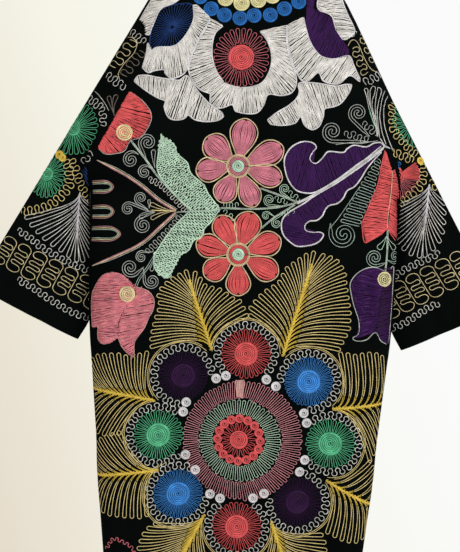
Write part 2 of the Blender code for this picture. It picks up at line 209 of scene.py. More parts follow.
def distance_to(line, x, z):
    """How far points (x, z) are from a line of straight stretches."""
    line = np.array(line, float)
    points = np.stack([x, z], axis=-1)[..., None, :]
    start = line[:-1]
    run = line[1:] - line[:-1]
    t = np.clip(((points - start) * run).sum(-1) / (run * run).sum(-1), 0, 1)
    return np.linalg.norm(points - start - t[..., None] * run, axis=-1).min(-1)


def rounded(distance, radius):
    """From 0 at an edge to 1 at the radius from it, along a quarter of a circle."""
    t = np.clip(distance / radius, 0, 1)
    return np.sqrt(np.maximum(1 - (1 - t) ** 2, 0))


def fading(share):
    """From 0 to 1 and back to 0 along a fold, fading at its two ends."""
    return smooth_step(share / FOLD_FADE) * smooth_step((1 + FOLD_FADE - share) / FOLD_FADE)


def fold_height(folds, x, z):
    """How far folds lift the cloth. They wander a little from their straight lines."""
    lift = np.zeros_like(x)
    for top_x, top_z, low_x, low_z, width, depth in np.array(folds) * MM:
        run_x, run_z = low_x - top_x, low_z - top_z
        length = math.hypot(run_x, run_z)
        share = ((x - top_x) * run_x + (z - top_z) * run_z) / length**2
        aside = ((x - top_x) * run_z - (z - top_z) * run_x) / length
        aside = aside + FOLD_WANDER * width * np.sin(7 * share + 40 * top_x)
        lift = lift + depth * fading(share) * np.exp(-((aside / width) ** 2))
    return lift


def body_y(x, z, face):
    """The y of the cloth's outer face, on the back (face -1) or the front (face 1)."""
    side = [(half, at) for at, half, _ in SIDE]
    side.append((side[-1][0], BELOW_HEM_Z))
    edge = rounded(distance_to(TOP_EDGE, np.abs(x), z), SHOULDER_ROUND)
    edge = edge * rounded(distance_to(side, np.abs(x), z), SIDE_ROUND)
    depth = by_height(DEPTH, z)[..., 0 if face < 0 else 1]
    folds = BACK_FOLDS + BACK_CREASES if face < 0 else FRONT_FOLDS + FRONT_CREASES
    below = smooth_step((SIDE[0][0] - z) / SIDE_SET_FADE)
    half_width = by_height(SIDE, z)[..., 0]
    middle = -SIDE_SET_BACK * below * np.clip(np.abs(x) / half_width, 0, 1) ** 2
    return middle + face * (depth + fold_height(folds, x, z)) * edge


def sleeve_fold_height(face, across, share):
    """How far a sleeve's folds lift its cloth, at shares of its width and length."""
    lift = np.zeros_like(across)
    for on_face, at, width, start, end, depth in SLEEVE_FOLDS:
        fade = fading((share - start) / (end - start))
        at = at + SLEEVE_FOLD_WANDER * math.sin(8 * share + 9 * at)
        lift = lift + depth * fade * (face == on_face) * np.exp(-(((across - at) / width) ** 2))
    return lift


def armhole_shares():
    """Shares of the armhole's length, closer together towards both folds."""
    turn = np.linspace(0, math.pi, ARMHOLE_ROWS + 1)
    return (1 - np.cos(turn)) / 2


def panel_rows(face):
    """The x and z of a half panel's points, a row for each height, from the centre to the side."""
    armhole = by_length(ARMHOLE, armhole_shares())
    z = np.linspace(ARMHOLE[-1][1], HEM_Z, BODY_ROWS + 1)[1:]
    ends = np.concatenate([armhole, np.stack([by_height(SIDE, z)[..., 0], z], axis=-1)])
    inner = 0.0 if face < 0 else SIDE[0][2]
    width = SHOULDER[-1][0] - inner
    neck_share = (NECK_HALF - inner) / width
    neck_columns = neck_share * np.linspace(0, 1, NECK_COLUMNS + 1)
    rest = np.linspace(0, 1, SHOULDER_COLUMNS + 1)[1:]
    share = np.concatenate([neck_columns, neck_share + (1 - neck_share) * (1 - (1 - rest) ** SIDE_CROWDING)])
    top_x = inner + width * share
    neck = np.clip((top_x - inner) / (NECK_HALF - inner), 0, 1)
    low, roundness = (BACK_NECK_Z, NECK_ROUNDNESS) if face < 0 else (FRONT_NECK_Z, FRONT_NECK_ROUNDNESS)
    neck_z = low + (NECK_Z - low) * neck**roundness
    shoulder = np.array(SHOULDER)
    shoulder_z = along(shoulder[:, 0], shoulder[:, 1:], top_x)[..., 0]
    top_z = np.where(top_x < NECK_HALF, neck_z, shoulder_z)
    above = (1 - np.concatenate([armhole_shares(), np.ones(BODY_ROWS)])) ** TOP_EASE
    z = ends[:, 1][:, None] + (top_z - SHOULDER[-1][1])[None, :] * above[:, None]
    edge = np.full_like(z, 0.0) if face < 0 else by_height(SIDE, z)[..., 1]
    return edge + (ends[:, 0][:, None] - edge) * share[None, :], z


def settled(points):
    """The cloth as it hangs on the day: its left shoulder a little proud, its right sleeve a little low."""
    x, z = points[..., 0], points[..., 2]
    near = 1 - smooth_step(distance_to(TOP_EDGE, np.abs(x), z) / SETTLE_DEPTH)
    lift = np.interp(x, *zip(*SETTLE)) * near
    away = np.array([SLEEVE_AWAY[0], 0.0, SLEEVE_AWAY[1]])
    return points + lift[..., None] * away * np.where(x < 0, -1, 1)[..., None] ** np.array([1, 1, 2])


def unit(v):
    return v / np.maximum(np.linalg.norm(v, axis=-1, keepdims=True), 1e-12)


def half_panel(face, side):
    """The outer points and outward directions of a half panel, columns from the centre to the side."""
    x, z = panel_rows(face)
    x = x * side
    points = np.stack([x, body_y(x, z, face), z], axis=-1)
    down = np.gradient(points, axis=0)
    across = np.gradient(points, axis=1)
    # On a fold that two faces share, the form turns straight over from one face to the other.
    turn_over = np.array([0.0, face, 0.0])
    across[ARMHOLE_ROWS:, -1] = -turn_over
    down[0, NECK_COLUMNS:] = turn_over
    outward = unit(np.cross(across, down))
    outward = outward * np.sign(outward[..., 1].sum()) * face
    outward[0, -1] = unit(np.array(SHOULDER_END_OUT) * (side, 1, 1))
    points[0, NECK_COLUMNS:, 1] = face * SEAM_GAP / 2
    points[ARMHOLE_ROWS:, -1, 1] += face * SEAM_GAP / 2
    return points, outward


def armhole_ring(side):
    """A sleeve's first ring: down the back of the armhole from the shoulder, and up its front."""
    back, back_out = half_panel(-1, side)
    front, front_out = half_panel(1, side)
    edge = slice(1, ARMHOLE_ROWS)
    out_to = np.array((side, 1, 1))
    top = back[0, -1] * (1, 0, 1)
    armpit = np.array([side * ARMHOLE[-1][0], 0.0, ARMHOLE[-1][1]])
    under = unit(ARMPIT_OUT * out_to)
    points = np.concatenate([[top], back[edge, -1], [armpit], front[edge, -1][::-1]])
    outward = np.concatenate([[back_out[0, -1]], back_out[edge, -1], [under], front_out[edge, -1][::-1]])
    run = np.roll(points, -1, axis=0) - np.roll(points, 1, axis=0)
    away = unit(np.cross(outward, run))
    away = away * np.where((away[:, :1] * side) < 0, -1, 1)
    away[ARMHOLE_ROWS] = unit(ARMPIT_AWAY * out_to)
    return points + SEAM_GAP * away, outward, away


def sleeve_rings(side):
    """The outer points and outward directions of a sleeve, a ring for each share of the way to the cuff."""
    ring, ring_out, away = armhole_ring(side)
    down = armhole_shares()
    q = np.concatenate([down, down[-2:0:-1]])
    face = np.where(np.arange(len(q)) < ARMHOLE_ROWS, -1, 1)
    face[[0, ARMHOLE_ROWS]] = 0
    depths = np.array(SLEEVE_DEPTH)
    top, armpit, cuff = (np.array([x, 0.0, z]) for x, z in (ARMHOLE[0], ARMHOLE[-1], CUFF_OUTER))
    swell = np.maximum(1 - np.abs(2 * q - 1) ** SLEEVE_FULLNESS, 0) ** (1 / SLEEVE_FULLNESS)
    rings = [ring]
    bow = ring * (side, 1, 1) - (top + (armpit - top) * q[:, None])
    for share in np.linspace(0, 1, SLEEVE_ROWS + 1)[1:]:
        depth = along(depths[:, 0], depths[:, 1], share)[0]
        outer_fold = top + (cuff - top) * share
        inner_fold = by_length(SLEEVE_INNER, INNER_START * share + (1 - INNER_START) * share**INNER_EASE)
        chord = outer_fold + (inner_fold - outer_fold) * q[:, None]
        own_form = smooth_step(share / SLEEVE_SETTLES)
        offset = np.zeros_like(chord)
        offset[:, 1] = face * swell * (depth + sleeve_fold_height(face, q, share))
        offset = bow * (1 - own_form) + offset * own_form
        spread = SLEEVE_SPREAD * share / SPREAD_AT * math.exp(1 - share / SPREAD_AT)
        offset = offset + spread * (away * (side, 1, 1)) * (1 - q[:, None] ** SPREAD_FALL)
        rings.append((chord + offset) * (side, 1, 1))
    points = np.array(rings)
    down = np.gradient(points, axis=0)
    around = (np.roll(points, -1, axis=1) - np.roll(points, 1, axis=1)) / 2
    outward = unit(np.cross(around, down)) * side
    outward[0] = ring_out
    return points, outward


# Lines in the plane of the cloth: x to the wearer's right and z up, in millimetres.

STEP = 2.4
FINE_STEP = 1.9
COIL_STEP = 2.0
EDGE_STEP = 1.0
CURL_STEP = 1.5
FROND_STEP = 2.6
STROKE_STEP = 3.0
# Widths of thread
NARROW = 1.4
THIN = 1.6
FINE = 2.0
MEDIUM = 2.5
BROAD = 3.5

# How uneven a hand's loops are, as a share of their length, and how filling rows waver
UNEVEN = 0.02
WAVE_LENGTH = (2.6, 5.0)
WAVE_HEIGHT = 0.42
# A curl's opening as a share of its radius, how close it winds, and how far along it opens fully
CURL_OPENING = 0.105
CURL_CLOSENESS = 4.3
CURL_OPENS_OVER = 22
# How a palm's loops open towards their tips, and how far up the stem the last ones leave it
FROND_OPENS = 1.3
STEM_SHARE = 0.76
# A petal's outline: shares of the way out, and of the half width there
PETAL_OUT = (0.0, 0.16, 0.38, 0.62, 0.82, 0.95, 1.0)
PETAL_WIDE = (0.26, 0.52, 0.84, 1.0, 0.82, 0.42, 0.0)


def read(line, marks, at):
    """The points of a line at `at`, where its own points are at `marks`."""
    return np.stack([np.interp(at, marks, line[:, i]) for i in (0, 1)], axis=1)


def spaced(line, step=STEP):
    """Points an even step apart on a line."""
    line = np.asarray(line, float)
    reach = np.concatenate([[0], np.cumsum(np.hypot(*np.diff(line, axis=0).T))])
    count = max(int(round(reach[-1] / step)), 2)
    return read(line, reach, np.linspace(0, reach[-1], count + 1))


def curve(points, closed=False, step=STEP):
    """Points a step apart on a smooth line through points, given as pairs or as one row of x, z, x, z."""
    p = np.reshape(np.array(points, float), (-1, 2))
    if closed:
        p = np.concatenate([p[-1:], p, p[:2]])
    else:
        p = np.concatenate([2 * p[:1] - p[1:2], p, 2 * p[-1:] - p[-2:-1]])
    t = np.linspace(0, 1, 10, endpoint=False)[:, None]
    parts = []
    for a, b, c, d in zip(p, p[1:], p[2:], p[3:]):
        turn = (2 * a - 5 * b + 4 * c - d) * t**2 + (3 * b - a - 3 * c + d) * t**3
        parts.append(0.5 * (2 * b + (c - a) * t + turn))
    return spaced(np.concatenate(parts + [p[-2:-1]]), step)


def normals(line):
    """Directions across a line, to the left of the way it runs."""
    run = np.gradient(line, axis=0)
    run = run / np.maximum(np.hypot(run[:, 0], run[:, 1]), 1e-9)[:, None]
    return np.stack([-run[:, 1], run[:, 0]], axis=1)


def beside(line, distance):
    """The same line, moved aside."""
    return line + normals(line) * distance


def polar(centre, radius, angle):
    radius = np.asarray(radius, float)
    return np.stack([centre[0] + radius * np.cos(angle), centre[1] + radius * np.sin(angle)], axis=-1)


def coil(centre, radius, pitch=3.2):
    """A line wound out from the middle of a disc and once round its rim."""
    turns = radius / pitch + 1
    turn = np.linspace(0, 2 * math.pi * turns, int(18 * turns))
    return spaced(polar(centre, np.minimum(pitch * turn / (2 * math.pi), radius), turn), COIL_STEP)


def circle(centre, radius):
    return spaced(polar(centre, radius, np.linspace(0, 2 * math.pi, 60)))


def winding(place, strands, low, high, low_round, high_round, bulb, uneven):
    """A line that runs out and back between two edges and turns round at each.

    `place` takes strands along and the offset across. `low_round` and `high_round` are the turns' heights.
    """
    along_line = []
    across = []
    lean = np.linspace(-1, 1, 9)
    turn = np.linspace(0, math.pi, 7)
    for k in range(strands):
        way = 1 if k % 2 == 0 else -1
        ends = np.array([low + low_round, high - high_round]) + uneven * chance.normal(size=2)
        offset = ends.mean() + way * lean * (ends[1] - ends[0]) / 2
        along_line.append(k - way * bulb * np.sin(way * lean * math.pi / 2))
        across.append(offset)
        if k < strands - 1:
            height = high_round if way > 0 else low_round
            along_line.append(k + 0.5 - (0.5 + bulb) * np.cos(turn[1:-1]))
            across.append(offset[-1] + way * height * np.sin(turn[1:-1]))
    return place(np.concatenate(along_line), np.concatenate(across))


def rays(centre, low, high, loops, start=0.0, sweep=2 * math.pi, bulb=0.12, squash=1.0):
    """A line in narrow loops between two radii about a centre."""
    strands = 2 * loops
    pitch = sweep / strands

    def place(s, r):
        return np.array(centre) + polar((0, 0), r, start + s * pitch) * (1, squash)

    rounds = [min((0.5 + bulb) * pitch * r, (high - low) / 3) for r in (low, high)]
    return spaced(winding(place, strands, low, high, *rounds, bulb, UNEVEN * (high - low)))


def meander(line, low, high, pitch, bulb=0.08, uneven=UNEVEN):
    """Loops along a line, from `low` to `high` aside of it, with a strand every `pitch`."""
    line = spaced(line, EDGE_STEP)
    side = normals(line)
    rows = np.arange(len(line))
    strands = max(int(round(len(line) / pitch)), 2)
    step = (len(line) - 1) / (strands - 1)

    def place(s, offset):
        at = np.clip(s * step, 0, len(line) - 1)
        return read(line, rows, at) + read(side, rows, at) * offset[:, None]

    height = min((0.5 + bulb) * step, (high - low) / 2.2)
    return spaced(winding(place, strands, low, high, height, height, bulb, uneven * (high - low)), FINE_STEP)


def between(first, second, strands, bulb=0.0, uneven=UNEVEN, turn=0.04):
    """Loops from one edge line to another, with that many strands. `turn` is the height of a loop's end."""
    first, second = curve(first, step=EDGE_STEP), curve(second, step=EDGE_STEP)

    def place(s, offset):
        share = np.clip(s / (strands - 1), 0, 1)
        a, b = (read(edge, np.linspace(0, 1, len(edge)), share) for edge in (first, second))
        return a + (b - a) * offset[:, None]

    return spaced(winding(place, strands, 0, 1, turn, turn, bulb, uneven))


def strokes(first, second, pitch, ragged=0.8):
    """Close stitches to and fro between two edge lines, as a filled form."""
    first, second = curve(first, step=EDGE_STEP), curve(second, step=EDGE_STEP)
    length = 0.7 * max(len(first), len(second)) + 0.3 * min(len(first), len(second))
    count = max(int(length / pitch), 3)
    share = np.clip(np.linspace(0, 1, count) + 0.2 / count * chance.normal(size=count), 0, 1)
    a, b = (read(edge, np.arange(len(edge)), share * (len(edge) - 1)) for edge in (first, second))
    run = (b - a) / np.maximum(np.hypot(*(b - a).T), 1e-6)[:, None]
    a = a + run * np.abs(chance.normal(size=(count, 1))) * ragged
    b = b - run * np.abs(chance.normal(size=(count, 1))) * ragged
    line = []
    for k in range(count):
        start, end = (a[k], b[k]) if k % 2 == 0 else (b[k], a[k])
        way = end - start
        length = math.hypot(*way)
        t = np.linspace(0, 1, max(int(length / STROKE_STEP), 1) + 1)[:, None]
        # A hand-drawn row wavers, so that dark gaps open and close beside it.
        wave = np.sin(length * t / chance.uniform(*WAVE_LENGTH) + chance.uniform(0, 6))
        waver = WAVE_HEIGHT * wave * np.sin(math.pi * t)
        line.append(start + way * t + np.array([-way[1], way[0]]) / max(length, 1e-6) * waver)
    return np.concatenate(line)


def petal(centre, angle, reach, half_width, inner, shrink=0.0, share=None):
    """A petal's closed outline, moved inwards by `shrink`, or one row of stitches at a share of its width."""
    out = inner + 0.3 * shrink + (reach - inner - 1.3 * shrink) * np.array(PETAL_OUT)
    wide = np.maximum(half_width - shrink, 0.4) * np.array(PETAL_WIDE)
    wide[0] = max(wide[0] - 0.4 * shrink, 0.2)
    if share is None:
        local = np.concatenate([np.stack([out, wide], 1), np.stack([out, -wide], 1)[-2::-1]])
    else:
        local = np.stack([out, wide * share], 1)
    turn = np.array([[math.cos(angle), math.sin(angle)], [-math.sin(angle), math.cos(angle)]])
    return curve(np.array(centre) + local @ turn, step=2.2)


def ribbon(line, opening, step):
    """Both sides of a line, as far from it as the opening, joined round its end."""
    aside = normals(line) * opening[:, None]
    ahead = line[-1] - line[-2]
    facing = math.atan2(ahead[1], ahead[0])
    cap = polar(line[-1], opening[-1], facing + np.linspace(math.pi / 2, -math.pi / 2, 7)[1:-1])
    return spaced(np.concatenate([line + aside, cap, (line - aside)[::-1]]), step)


def curl(start, centre, radius, turn):
    """Two lines from a start onto a circle, wound in about its centre and joined. Turn 1 is anticlockwise."""
    start = np.array(start, float)
    half = CURL_OPENING * radius + 0.4
    outer, inner = radius - half, half + 0.5
    to = start - np.array(centre)
    distance = max(math.hypot(*to), outer * 1.01)
    first = math.atan2(to[1], to[0]) + turn * math.acos(outer / distance)
    rounds = (outer - inner) / (CURL_CLOSENESS * half)
    swing = np.linspace(0, 1, 48)
    wind = polar(centre, outer + (inner - outer) * swing, first + turn * 2 * math.pi * rounds * swing)
    line = spaced(np.concatenate([[start], wind]), CURL_STEP)
    opening = smooth_step((np.arange(len(line)) * CURL_STEP + 3) / CURL_OPENS_OVER)
    return ribbon(line, half * opening, FINE_STEP)


def frond(root, heading, tip, width, bend=0.42):
    """One narrow loop that leaves its root along the heading and bends to a round tip."""
    root, tip = np.array(root, float), np.array(tip, float)
    reach = math.hypot(*(tip - root))
    turn = root + np.array(heading) * bend * reach
    t = np.linspace(0, 1, 16)[:, None]
    line = (1 - t) ** 2 * root + 2 * t * (1 - t) * turn + t**2 * tip
    return ribbon(line, width * t[:, 0] ** FROND_OPENS, FROND_STEP)


def fronds(base, top, edge, pitch, width, bend):
    """The loops on one side of a stem, their tips along an edge line from its low end to the stem's top."""
    base, top = np.array(base, float), np.array(top, float)
    heading = (top - base) / math.hypot(*(top - base))
    tips = spaced(curve(edge), pitch)
    last = max(len(tips) - 1, 1)
    roots = [base + (top - base) * (STEM_SHARE * (i / last) ** 1.1) for i in range(len(tips))]
    return [frond(root, heading, tip, width, bend) for root, tip in zip(roots, tips)]


class Work:
    """The lines sewn on one piece of cloth, in order: each its colour, width, lift and points."""

    def __init__(self, crosses=False):
        self.lines = []
        self.crosses = crosses

    def sew(self, colour, line, width=FINE, over=0.0):
        """Add a line of chain stitch. `over` lifts it above thread that lies under it."""
        self.lines.append((colour, width, over, np.asarray(line, float)))

    def line(self, colour, points, width=FINE, over=0.0):
        """One plain line through points."""
        self.sew(colour, curve(points), width, over)

    def loops(self, colour, points, low, high, pitch, bulb=0.14, width=THIN):
        """Loops along a line through points."""
        self.sew(colour, meander(curve(points), low, high, pitch, bulb), width)

    def frond(self, colour, root, heading, tip, opening, width=NARROW):
        self.sew(colour, frond(root, heading, tip, opening), width)

    def curl(self, colour, start, centre, radius, turn, width=1.5):
        self.sew(colour, curl(start, centre, radius, turn), width)

    def curls(self, colour, rows, width=1.5):
        for row in rows:
            self.curl(colour, *row, width)

    def double(self, points, first, second, gap, width):
        """Two lines side by side."""
        line = curve(points)
        self.sew(first, line, width)
        self.sew(second, beside(line, gap), width)

    def fill(self, colour, first, second, pitch, rim=None, streak=None):
        """A filled form between two edge lines, if wanted with a line along both and sparse rows on it."""
        self.sew(colour, strokes(first, second, pitch), MEDIUM)
        if streak:
            self.sew(streak, strokes(first, second, 3.6 * pitch, 6.0), NARROW, 0.25)
        if rim:
            for edge in (first, second):
                self.line(rim, edge, MEDIUM, 0.3)

    def rosette(self, colour, centre, core, rim, loops, ray_colour=None, squash=1.0, bulb=0.12):
        self.sew(colour, coil(centre, core - 1, 3.7), BROAD)
        self.sew(ray_colour or colour, rays(centre, core, rim, loops, squash=squash, bulb=bulb), NARROW)

    def disc(self, colour, centre, radius, over=0.6):
        """A wound disc. Where it is lifted, a second coil closes the gaps under it."""
        self.sew(colour, coil(centre, radius - 1.3, 3.6), 2.8 if over else 3.4, over)
        if over:
            self.sew(colour, coil(centre, radius - 1.8, 3.6), 3.6, 0.1)

    def palm(
        self, base, top, left, right, stem="yellow", leaf="gold", pitch=14.0, width=3.6, bend=0.34, broad=3.1
    ):
        """Narrow loops to both sides of a stem. Each loop begins and ends in the stem's colour."""
        for edge in (left, right):
            for line in fronds(base, top, edge, pitch, width, bend):
                near = int(0.14 * len(line))
                self.sew(stem, line[: near + 1], NARROW)
                self.sew(leaf, line[near:-near], THIN)
                self.sew(stem, line[-near - 1 :], NARROW)
        stem_line = spaced((base, top), EDGE_STEP)
        self.sew(stem, meander(stem_line, -broad, broad, 2.9, bulb=0.0), 1.8)
        self.sew(stem, stem_line[:: int(STEP)], broad, 0.4)

    def flower(self, centre, petals, colour):
        """Rimmed petals about a mint disc. Each is its angle in degrees, its reach and half its width."""
        for degrees, reach, half_width in petals:
            angle = math.radians(degrees)
            rows = int(2 * half_width / 2.7)
            for k in range(rows):
                share = (2 * k + 1 + 0.5 * chance.normal()) / rows - 1
                row = petal(centre, angle, reach, half_width, 21, 2.4, 0.94 * share)
                start, end = (0, 0.97) if k % 2 == 0 else (0.14, 0.93)
                self.sew(colour, row[int(start * len(row)) : int(end * len(row))], MEDIUM)
            self.sew("cream", petal(centre, angle, reach, half_width, 20), 2.4, 0.3)
        self.disc("mint", centre, 11.5)
        for radius in (13.2, 16):
            self.sew(colour, circle(centre, radius), 2.7, 0.2)
        for radius, width in ((21, 2.6), (18.8, FINE)):
            self.sew("cream", circle(centre, radius), width, 0.4)


def sew_neck(work):
    """Two rows of small discs that follow the neck, and a narrow looped line above them."""
    neck = curve([-89, -100, -80, -118, -62, -134, -30, -145, 0, -146, 30, -145, 62, -134, 80, -118,
        89, -100])
    butter_row = (
        (-92, -139), (-76, -159), (-49, -171), (-19, -179), (12, -172), (38, -163), (60, -146), (74, -126),
    )
    blue_row = (
        (-127, -134), (-117, -158), (-96, -170), (-75, -192), (-50, -203), (-21, -208), (5, -202),
        (35, -200), (61, -187), (87, -173), (103, -150), (109, -124),
    )
    # The blue row is a darker blue, painted shade where the neck curves away.
    for colour, row, radius in (("butter", butter_row, 15.4), ("shaded_blue", blue_row, 14.2)):
        for centre in row:
            work.disc(colour, centre, radius, 0.5)
    work.sew("silver", meander(beside(neck, -9), -5, 5, 5.0), FINE)


WHITE_FORMS = (
    ([-109, -186, -107, -212, -116, -236, -130, -257, -145, -267, -172, -270, -181, -276], [-102, -186,
        -77, -211, -86, -230, -98, -254, -110, -285, -117, -311, -127, -321, -143, -326, -155, -318,
        -158, -311, -175, -314, -186, -318, -198, -309]),
    ([-76, -211, -85, -232, -97, -256, -108, -285, -112, -311, -103, -331, -90, -345, -71, -352], [-52, -224,
        -65, -237, -70, -255, -70, -280, -64, -303, -56, -318, -46, -331]),
    ([-46, -331, -31, -336, -16, -339], [-71, -352, -70, -370, -60, -378, -46, -377, -30, -371, -24, -382,
        -15, -385]),
    ([17, -232, 31, -249, 39, -272, 40, -292, 34, -313, 23, -329, 3, -337, -16, -339], [66, -219, 67, -252,
        74, -284, 85, -309, 87, -329, 79, -345, 60, -351, 36, -350, 28, -370, 15, -385, -10, -386,
        -24, -381]),
    ([68, -218, 69, -252, 78, -284, 88, -309, 98, -322, 110, -321, 127, -306, 137, -321, 155, -326,
        168, -324, 186, -309, 205, -320], [97, -202, 102, -223, 109, -244, 119, -262, 133, -275, 155, -279,
        182, -273, 192, -290, 204, -313]),
    ([131, -148, 122, -172, 125, -187, 138, -193, 150, -202, 157, -225, 171, -244], [164, -139, 170, -163,
        173, -174, 181, -193, 194, -222, 181, -240]),
    ([-181, -162, -203, -204, -211, -227, -204, -236, -192, -247], [-117, -161, -145, -184, -168, -196,
        -177, -214, -187, -246]),
    ([-190, -262, -192, -285, -198, -309], [-188, -264, -182, -276, -181, -278]),
    ([-212, -333, -205, -324, -189, -323, -170, -326, -143, -328, -129, -329, -116, -320, -106, -331,
        -95, -347, -78, -365, -65, -376, -50, -385, -45, -393], [-211, -335, -190, -351, -169, -363,
        -153, -369, -155, -380, -147, -398, -133, -403, -118, -400, -110, -393, -98, -401, -77, -404,
        -56, -401, -45, -394]),
    ([36, -397, 54, -382, 73, -370, 88, -356, 93, -344, 92, -327, 114, -325, 137, -327, 161, -330, 178, -326,
        190, -326], [43, -405, 64, -406, 87, -401, 97, -389, 105, -404, 119, -412, 132, -405, 139, -387,
        141, -373, 158, -368, 171, -361, 184, -343, 189, -331]),
)


def sew_shoulders(work):
    """The pale tulips about the red rosette, and the dark leaves beside them."""
    for first, second in WHITE_FORMS:
        work.fill("white", first, second, 2.8, "pale")
    work.line("pale", [-77, -211, -86, -230, -98, -254, -110, -285, -114, -311], MEDIUM, 0.4)
    work.line("pale", [67, -218, 68, -252, 76, -284, 86, -309], MEDIUM, 0.4)
    work.rosette("coral", (-16, -282), 23.4, 51, 26, "maroon", squash=1.1)
    leaf = (
        (-182, -276), (-186, -258), (-183, -235), (-173, -201), (-154, -190), (-134, -185), (-111, -186),
        (-107, -212), (-116, -236), (-130, -257), (-145, -266), (-172, -269),
    )
    work.sew("navy", curve(leaf, closed=True), FINE)
    centre = np.array((-145, -231))
    inner = centre + (np.array(leaf) - centre) * 0.06
    work.sew("navy", between(inner, leaf, 44, turn=0.06), 1.5)
    leaf = [(103, -180), (115, -186), (131, -195), (147, -204), (155, -221), (165, -239), (182, -263)]
    low = [102, -212, 109, -240, 120, -260, 133, -274, 155, -278, 181, -273]
    work.fill("purple", leaf, low, 2.5, "purple")
    work.fill("purple", [92, -150, 103, -180, 102, -212], [115, -141, 116, -168, 115, -186], 2.8)


PINK_PETALS = (
    (82, 89, 25.7), (25, 90.5, 23.5), (-15.5, 85, 21.5), (-65.5, 81, 20.5), (-115, 74, 22), (-171, 78, 23),
    (141, 79, 25),
)
CORAL_PETALS = (
    (74.3, 82.7, 25), (22, 83.4, 23), (-26, 82.3, 22.8), (-88, 76.2, 22.8), (-145, 74, 22),
    (165.5, 80.6, 22), (119.4, 80, 22),
)


def sew_middle(work):
    """The two flowers and the pale green leaves that meet between them."""
    work.flower((-15, -484), PINK_PETALS, "pink")
    work.flower((-9, -647), CORAL_PETALS, "coral")
    leaves = (
        ([-159, -438, -163, -468, -163, -498, -142, -527, -119, -551, -99, -566], [-158, -435, -135, -448,
            -128, -465, -109, -481, -101, -501, -78, -520, -68, -537, -46, -564]),
        ([-99, -568, -116, -585, -139, -613, -156, -641, -164, -656, -162, -676, -152, -688, -140, -693],
            [-46, -565, -61, -588, -73, -601, -77, -616, -92, -624, -101, -642, -116, -652, -125, -670,
            -132, -685, -139, -693]),
    )
    for first, second in leaves:
        a = curve(first, step=1.0)
        b = curve(second, step=1.0)
        share = np.linspace(0, 1, 80)
        a = a[(share * (len(a) - 1)).astype(int)]
        b = b[(share * (len(b) - 1)).astype(int)]
        rows = 9
        for row in range(rows):
            line = a + (b - a) * (row + 0.5) / rows
            gap = np.hypot(*(b - a)[40]) / rows
            work.sew("mint", meander(line, -0.47 * gap, 0.47 * gap, 3.75, bulb=0.05, uneven=0.14), 2.5)
        work.line("mint", first, MEDIUM, 0.2)
        work.line("mint", second, MEDIUM, 0.2)
    work.line("sage", [-126, -573, -86, -569, -44, -565], MEDIUM, 0.6)
    work.line("mint", [-159, -429, -158, -438], BROAD)
    work.line("mint", [-140, -691, -138, -696], BROAD)
    for line in (
        [-45, -563, 11, -563, 56, -559, 91, -550, 102, -545], [27, -524, 64, -536, 95, -547],
        [32, -598, 56, -577, 93, -552],
    ):
        work.double(line, "mint", "silver", 1.8, NARROW)
    work.curls("mint", (
        ((86, -542), (73, -523), 11, -1), ((69, -555), (45, -544), 12, -1), ((56, -575), (40, -574), 9, 1),
        ((76, -565), (60, -587), 10.5, 1),
    ), 1.3)
    for line in (
        [80, -529, 101, -542], [55, -541, 78, -547], [69, -572, 91, -562], [-39, -568, -18, -582],
        [-39, -557, -12, -556],
    ):
        work.loops("mint", line, -5, 5, 5.0, 0.08, 1.3)


